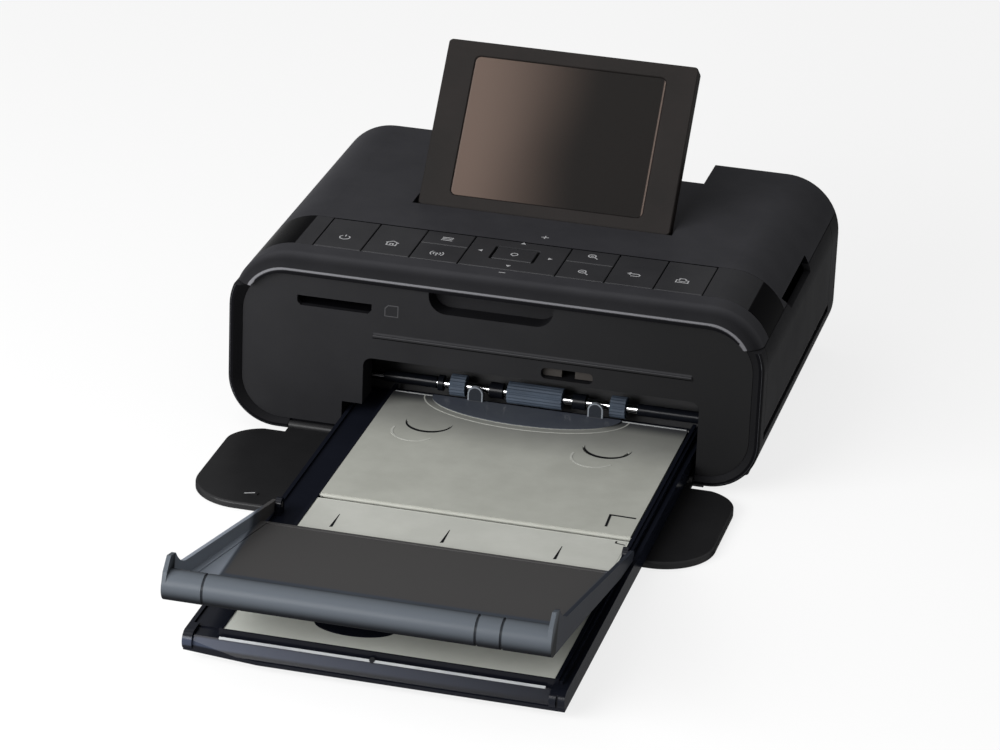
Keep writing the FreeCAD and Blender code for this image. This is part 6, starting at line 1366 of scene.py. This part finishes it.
@dataclass
class PaperCover:
    """Details on the grey cover over the paper."""

    top: float = 11.45
    rear: float = 21.5
    lens_span: Range = (-25.0, 40.0)
    lens_depth: float = 15.0
    lens_floor: float = 11.8
    lens_high: float = 0.22
    lens_grow: float = -0.1
    lens_steps: int = 40
    halo_grow: float = 2.6
    halo_line: float = 0.45
    halo_high: float = 0.12
    ring_places: tuple[Point, ...] = ((-20.2, -0.5), (40.7, -1.5))
    ring_shift: Point = (-2.8, -8.3)
    ring_radius: float = 7.5
    ring_turn: Range = (165, 330)
    ring_line: float = 0.7
    ring_high: float = 0.14
    # Crescents of painted shade in the cover's slits.
    slit_radius: float = 7.9
    slit_turn: Range = (184, 356)
    slit_wide: float = 1.3
    slit_high: float = 0.1
    arc_steps: int = 28
    # Place and size of the painted highlight along the rear edge.
    edge_span: Range = (-38.0, 62.0)
    edge_inset: float = 0.15
    edge_line: float = 0.35
    edge_high: float = 0.3
    corner_points: tuple[Point, ...] = ((53.4, -59.5), (52.9, -50.7), (61.2, -50.9))
    corner_line: float = 0.8
    corner_high: float = 0.12

    def build(self) -> None:
        """Add the lens with its ring and the rear edge's painted highlight, the slits with their painted
        shade and rings, and the corner line.
        """
        level = flat(in_body(0, 0, self.top))
        self.lens(level)
        self.slits(level)
        self.corner(level)

    def lens_outline(self, grow: float) -> list[Point]:
        """Lens outline, straight along the cover's rear.

        Args:
            grow: How far it stands out round the lens.

        Returns:
            Its corners.
        """
        span = (self.lens_span[0] - grow, self.lens_span[1] + grow)
        return half_ellipse(span, self.rear, self.lens_depth + grow, self.lens_steps)

    def lens(self, level: Matrix) -> None:
        """Smoked lens with a faint ring round it and a painted highlight along the cover's rear edge."""
        lens = Piece("cover_lens", LENS, Body.PAPER_COVER.value, Slot.GREY)
        floor = flat(in_body(0, 0, self.lens_floor))
        lens.prism(self.lens_outline(self.lens_grow), floor, 0.0, self.lens_high)
        lens.settle()
        ring = Piece("cover_lens_ring", RAISED_GREY, Body.PAPER_COVER.value, Slot.GREY)
        ring.stroke(self.lens_outline(self.halo_grow), level, self.halo_line, self.halo_high)
        ring.settle()
        # A pale strip that paints the highlight along the cover's rear edge.
        edge = Piece("cover_rear_highlight", EDGE_HIGHLIGHT, Body.PAPER_COVER.value, Slot.GREY)
        edge.stroke([(x, self.rear - self.edge_inset) for x in self.edge_span], level, self.edge_line,
                    self.edge_high)
        edge.settle()

    def slits(self, level: Matrix) -> None:
        """Round slits filled with painted shade, with faint raised rings beside them."""
        ring = Piece("cover_slit_rings", RAISED_GREY, Body.PAPER_COVER.value, Slot.GREY)
        for x, y in self.ring_places:
            centre = (x + self.ring_shift[0], y + self.ring_shift[1])
            line = arc(centre, self.ring_radius, *self.ring_turn, self.arc_steps)
            ring.stroke(line, level, self.ring_line, self.ring_high)
        ring.settle()
        # Dark crescents of painted shade in the slits.
        dark = Piece("cover_slit_shade", SLIT_SHADE_AND_MARK, Body.PAPER_COVER.value, Slot.NAVY)
        start, end = self.slit_turn
        for x, y in self.ring_places:
            outer = arc((x, y), self.slit_radius, start, end, self.arc_steps)
            inner = arc((x, y + self.slit_wide), self.slit_radius, end, start, self.arc_steps)
            dark.prism(outer + inner, level, 0.0, self.slit_high)
        dark.settle()

    def corner(self, level: Matrix) -> None:
        """Dark angled line at the cover's front right corner."""
        line = Piece("cover_corner_line", SLIT_SHADE_AND_MARK, Body.PAPER_COVER.value, Slot.NAVY)
        line.stroke(list(self.corner_points), level, self.corner_line, self.corner_high)
        line.settle()


@dataclass
class CassetteDeck:
    """Details on the cassette's fixed deck and on its front bar."""

    sink: float = 0.02
    strip: tuple[float, float, float, float] = (-38.2, 62.2, -91.5, -67.6)
    strip_high: float = 0.12
    slits: tuple[float, ...] = (-28.6, 7.3, 43.5)
    slit_outline: tuple[Point, ...] = ((-0.5, -87.0), (0.5, -86.6), (0.15, -77.0), (-0.05, -77.0))
    slit_low: float = 0.05
    slit_high: float = 0.16
    mark: tuple[Point, ...] = ((62.0, -70.0), (58.9, -69.4), (58.9, -68.0))
    mark_line: float = 0.5
    mark_high: float = 0.17
    tab_span: Range = (-14.7, 10.4)
    tab_rear: float = -150.4
    tab_depth: float = 7.0
    tab_high: float = 0.25
    tab_steps: int = 24
    # Place and tilt of the painted highlight along the front bar.
    line_span: Range = (-39.5, 60.4)
    line_y: float = -166.25
    line_z: float = 8.42
    line_turn: float = 45.0
    line_width: float = 0.8
    notch: Point = (7.7, 0.3)
    notch_radius: float = 0.9
    notch_turn: Range = (0, 345)
    notch_steps: int = 16

    def build(self) -> None:
        """Add the pale strip, the painted shade in its slits, the small corner mark, the dark tab and the
        bar's painted highlight.
        """
        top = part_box("front_deck")[1].z / MM
        level = flat(in_body(0, 0, top - self.sink))
        strip = Piece("deck_strip", STRIP_GREY, Body.CASSETTE.value, Slot.GREY)
        strip.prism(rectangle(*self.strip), level, 0.0, self.strip_high)
        strip.settle()
        # Painted shade in the strip's slits, and the small dark corner mark.
        cuts = Piece("deck_slit_shade_and_mark", SLIT_SHADE_AND_MARK, Body.CASSETTE.value, Slot.NAVY)
        for x in self.slits:
            cuts.prism([(x + u, v) for u, v in self.slit_outline], level, self.slit_low, self.slit_high)
        cuts.stroke(list(self.mark), level, self.mark_line, self.mark_high)
        cuts.settle()
        tab = Piece("deck_front_tab", FINISHES[Slot.NAVY], Body.CASSETTE.value, Slot.NAVY)
        outline = half_ellipse(self.tab_span, self.tab_rear, self.tab_depth, self.tab_steps)
        tab.prism(outline, level, 0.0, self.tab_high)
        tab.settle()
        self.paint_bar_highlight()

    def paint_bar_highlight(self) -> None:
        """Painted highlight along the front bar's rounded step, with a small dark notch."""
        plane = flat(in_body(0, self.line_y, self.line_z), self.line_turn)
        # A pale strip that paints the highlight along the bar's edge.
        line = Piece("bar_highlight_strip", BAR_HIGHLIGHT, Body.CASSETTE.value, Slot.NAVY)
        line.stroke([(x, 0.0) for x in self.line_span], plane, self.line_width, self.line_width / 3)
        line.settle()
        notch = Piece("bar_notch", SLIT_SHADE_AND_MARK, Body.CASSETTE.value, Slot.NAVY)
        outline = arc(self.notch, self.notch_radius, *self.notch_turn, self.notch_steps)
        notch.prism(outline, plane, 0.0, self.line_width / 2)
        notch.settle()


@dataclass
class FrontFlap:
    """Open front flap with rounded rear corners, and what closes the gaps at its hinge."""

    half_width: float = 86.0
    rear: float = -3.0
    radius: float = 14.0
    chamfer: float = 0.8
    margin: float = 0.01
    weld: float = 0.001
    spare: float = 5.0
    below: float = -1.0
    steps: int = 24
    neck_span: Range = (-53.0, 67.8)
    neck_depth: Range = (-3.4, -0.2)
    neck_heights: Range = (1.35, 2.9)
    rest_span: Range = (58.0, 72.0)
    rest_depth: Range = (3.6, 4.6)
    rest_heights: Range = (0.15, 1.95)

    def build(self, frame: dict) -> None:
        """Cut the rear corners off a copy of the solid and let it take the solid's place.
        """
        solid = bmesh.new()
        solid.from_mesh(frame["nodes"]["front_cover"].data)
        bmesh.ops.remove_doubles(solid, verts=solid.verts, dist=self.weld * MM)
        body = self.plain("flap_body", solid)
        tool = self.plain("flap_corners", self.cutter(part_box("front_cover")[1].z / MM))
        modifier = body.modifiers.new("corners", "BOOLEAN")
        modifier.operation = "DIFFERENCE"
        modifier.solver = "EXACT"
        modifier.object = tool
        finish = NODE_FINISHES["front_cover"]
        piece = Piece("flap_panel", finish, Body.FLAP.value, Slot.MATTE)
        data = harden(body, piece.name)
        bpy.data.objects.remove(tool)
        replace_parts(piece.hand_over(data), "front_cover")
        level = flat(in_body(0, 0, 0))
        neck = Piece("flap_neck", finish, Body.FLAP.value, Slot.MATTE)
        neck.prism(rectangle(*self.neck_span, *self.neck_depth), level, *self.neck_heights)
        neck.settle()
        rest = Piece("front_rest", finish, Body.PRINTER.value, Slot.MATTE)
        rest.prism(rectangle(*self.rest_span, *self.rest_depth), level, *self.rest_heights)
        rest.settle()

    def plain(self, name: str, shape: bmesh.types.BMesh) -> bpy.types.Object:
        """Object of a mesh under work, taken away again later.

        Args:
            name: Its name.
            shape: Its shape, freed here.

        Returns:
            The object.
        """
        data = bpy.data.meshes.new(name)
        shape.to_mesh(data)
        shape.free()
        made = bpy.data.objects.new(name, data)
        bpy.context.scene.collection.objects.link(made)
        return made

    def cutter(self, top: float) -> bmesh.types.BMesh:
        """Shape of what the two rounded corners leave out, wider at the top for the chamfer.

        Args:
            top: Height of the flap's upper face.

        Returns:
            The mesh.
        """
        shape = bmesh.new()
        far = self.radius + self.spare
        middle = (self.half_width - self.radius - self.margin, self.rear - self.radius - self.margin)
        levels = ((self.below, 0.0), (top - self.chamfer, 0.0), (top + self.chamfer, 2.0 * self.chamfer))
        for side in (-1.0, 1.0):
            rings = []
            for height, inset in levels:
                outline = arc((0.0, 0.0), self.radius - inset, 0, 90, self.steps)
                outline += [(0.0, far), (far, far), (far, 0.0)]
                rings.append([shape.verts.new(in_body(side * (middle[0] + u), middle[1] + v, height))
                              for u, v in outline])
            for low, high in zip(rings, rings[1:]):
                for index, corner in enumerate(low):
                    after = (index + 1) % len(low)
                    shape.faces.new((corner, low[after], high[after], high[index]))
            shape.faces.new(list(reversed(rings[0])))
            shape.faces.new(rings[-1])
        bmesh.ops.recalc_face_normals(shape, faces=shape.faces)
        return shape


@dataclass
class SmallMarks:
    """The flap's mark and the card sign beside the slot."""

    sink: float = 0.01
    raise_by: float = 0.03
    flap_line: tuple[Point, ...] = ((-65.8, -58.4), (-62.6, -57.0))
    flap_wide: float = 0.5
    card_place: Triple = (-35.2, 2.78, 48.0)
    card_outline: tuple[Point, ...] = ((-2.2, -1.9), (2.2, -1.9), (2.2, 1.9), (-1.1, 1.9), (-2.2, 0.8))
    card_wide: float = 0.3

    def build(self) -> None:
        """Add both marks."""
        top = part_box("front_cover")[1].z / MM
        flap = Piece("flap_mark", LEGEND, Body.FLAP.value, Slot.MATTE)
        flap.stroke(list(self.flap_line), flat(in_body(0, 0, top - self.sink)), self.flap_wide, self.raise_by)
        flap.settle()
        card = Piece("card_mark", CARD_INK, Body.PRINTER.value, Slot.MATTE)
        card.stroke(list(self.card_outline), flat(in_body(*self.card_place), 90), self.card_wide,
                    self.raise_by, True)
        card.settle()


class Dresser:
    """Gives every solid of the frame its finish."""

    def dress(self, frame: dict) -> None:
        """Assign finishes by the record's slots and by node.
        """
        for part in frame["record"]["subparts"]:
            node = part["node"]
            finish = NODE_FINISHES.get(node, FINISHES[Slot(part["material_slot"])])
            data = frame["nodes"][node].data
            data.materials.clear()
            data.materials.append(finish.material())
            LOG.info("node %s: %s", node, finish.name)


def clear_scene() -> None:
    """Remove what the start-up scene holds."""
    for thing in list(bpy.data.objects):
        bpy.data.objects.remove(thing)


def main() -> None:
    """Load the frame, dress it, add the details and set the stage."""
    logging.basicConfig(level=logging.INFO, format="%(name)s %(message)s")
    clear_scene()
    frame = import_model()
    EffectLibrary().build()
    Dresser().dress(frame)
    KeyLegends().build()
    PickupRollers().build()
    PaperCover().build()
    CassetteDeck().build()
    FrontFlap().build(frame)
    SmallMarks().build()
    Studio().build()


if __name__ == "__main__":
    main()
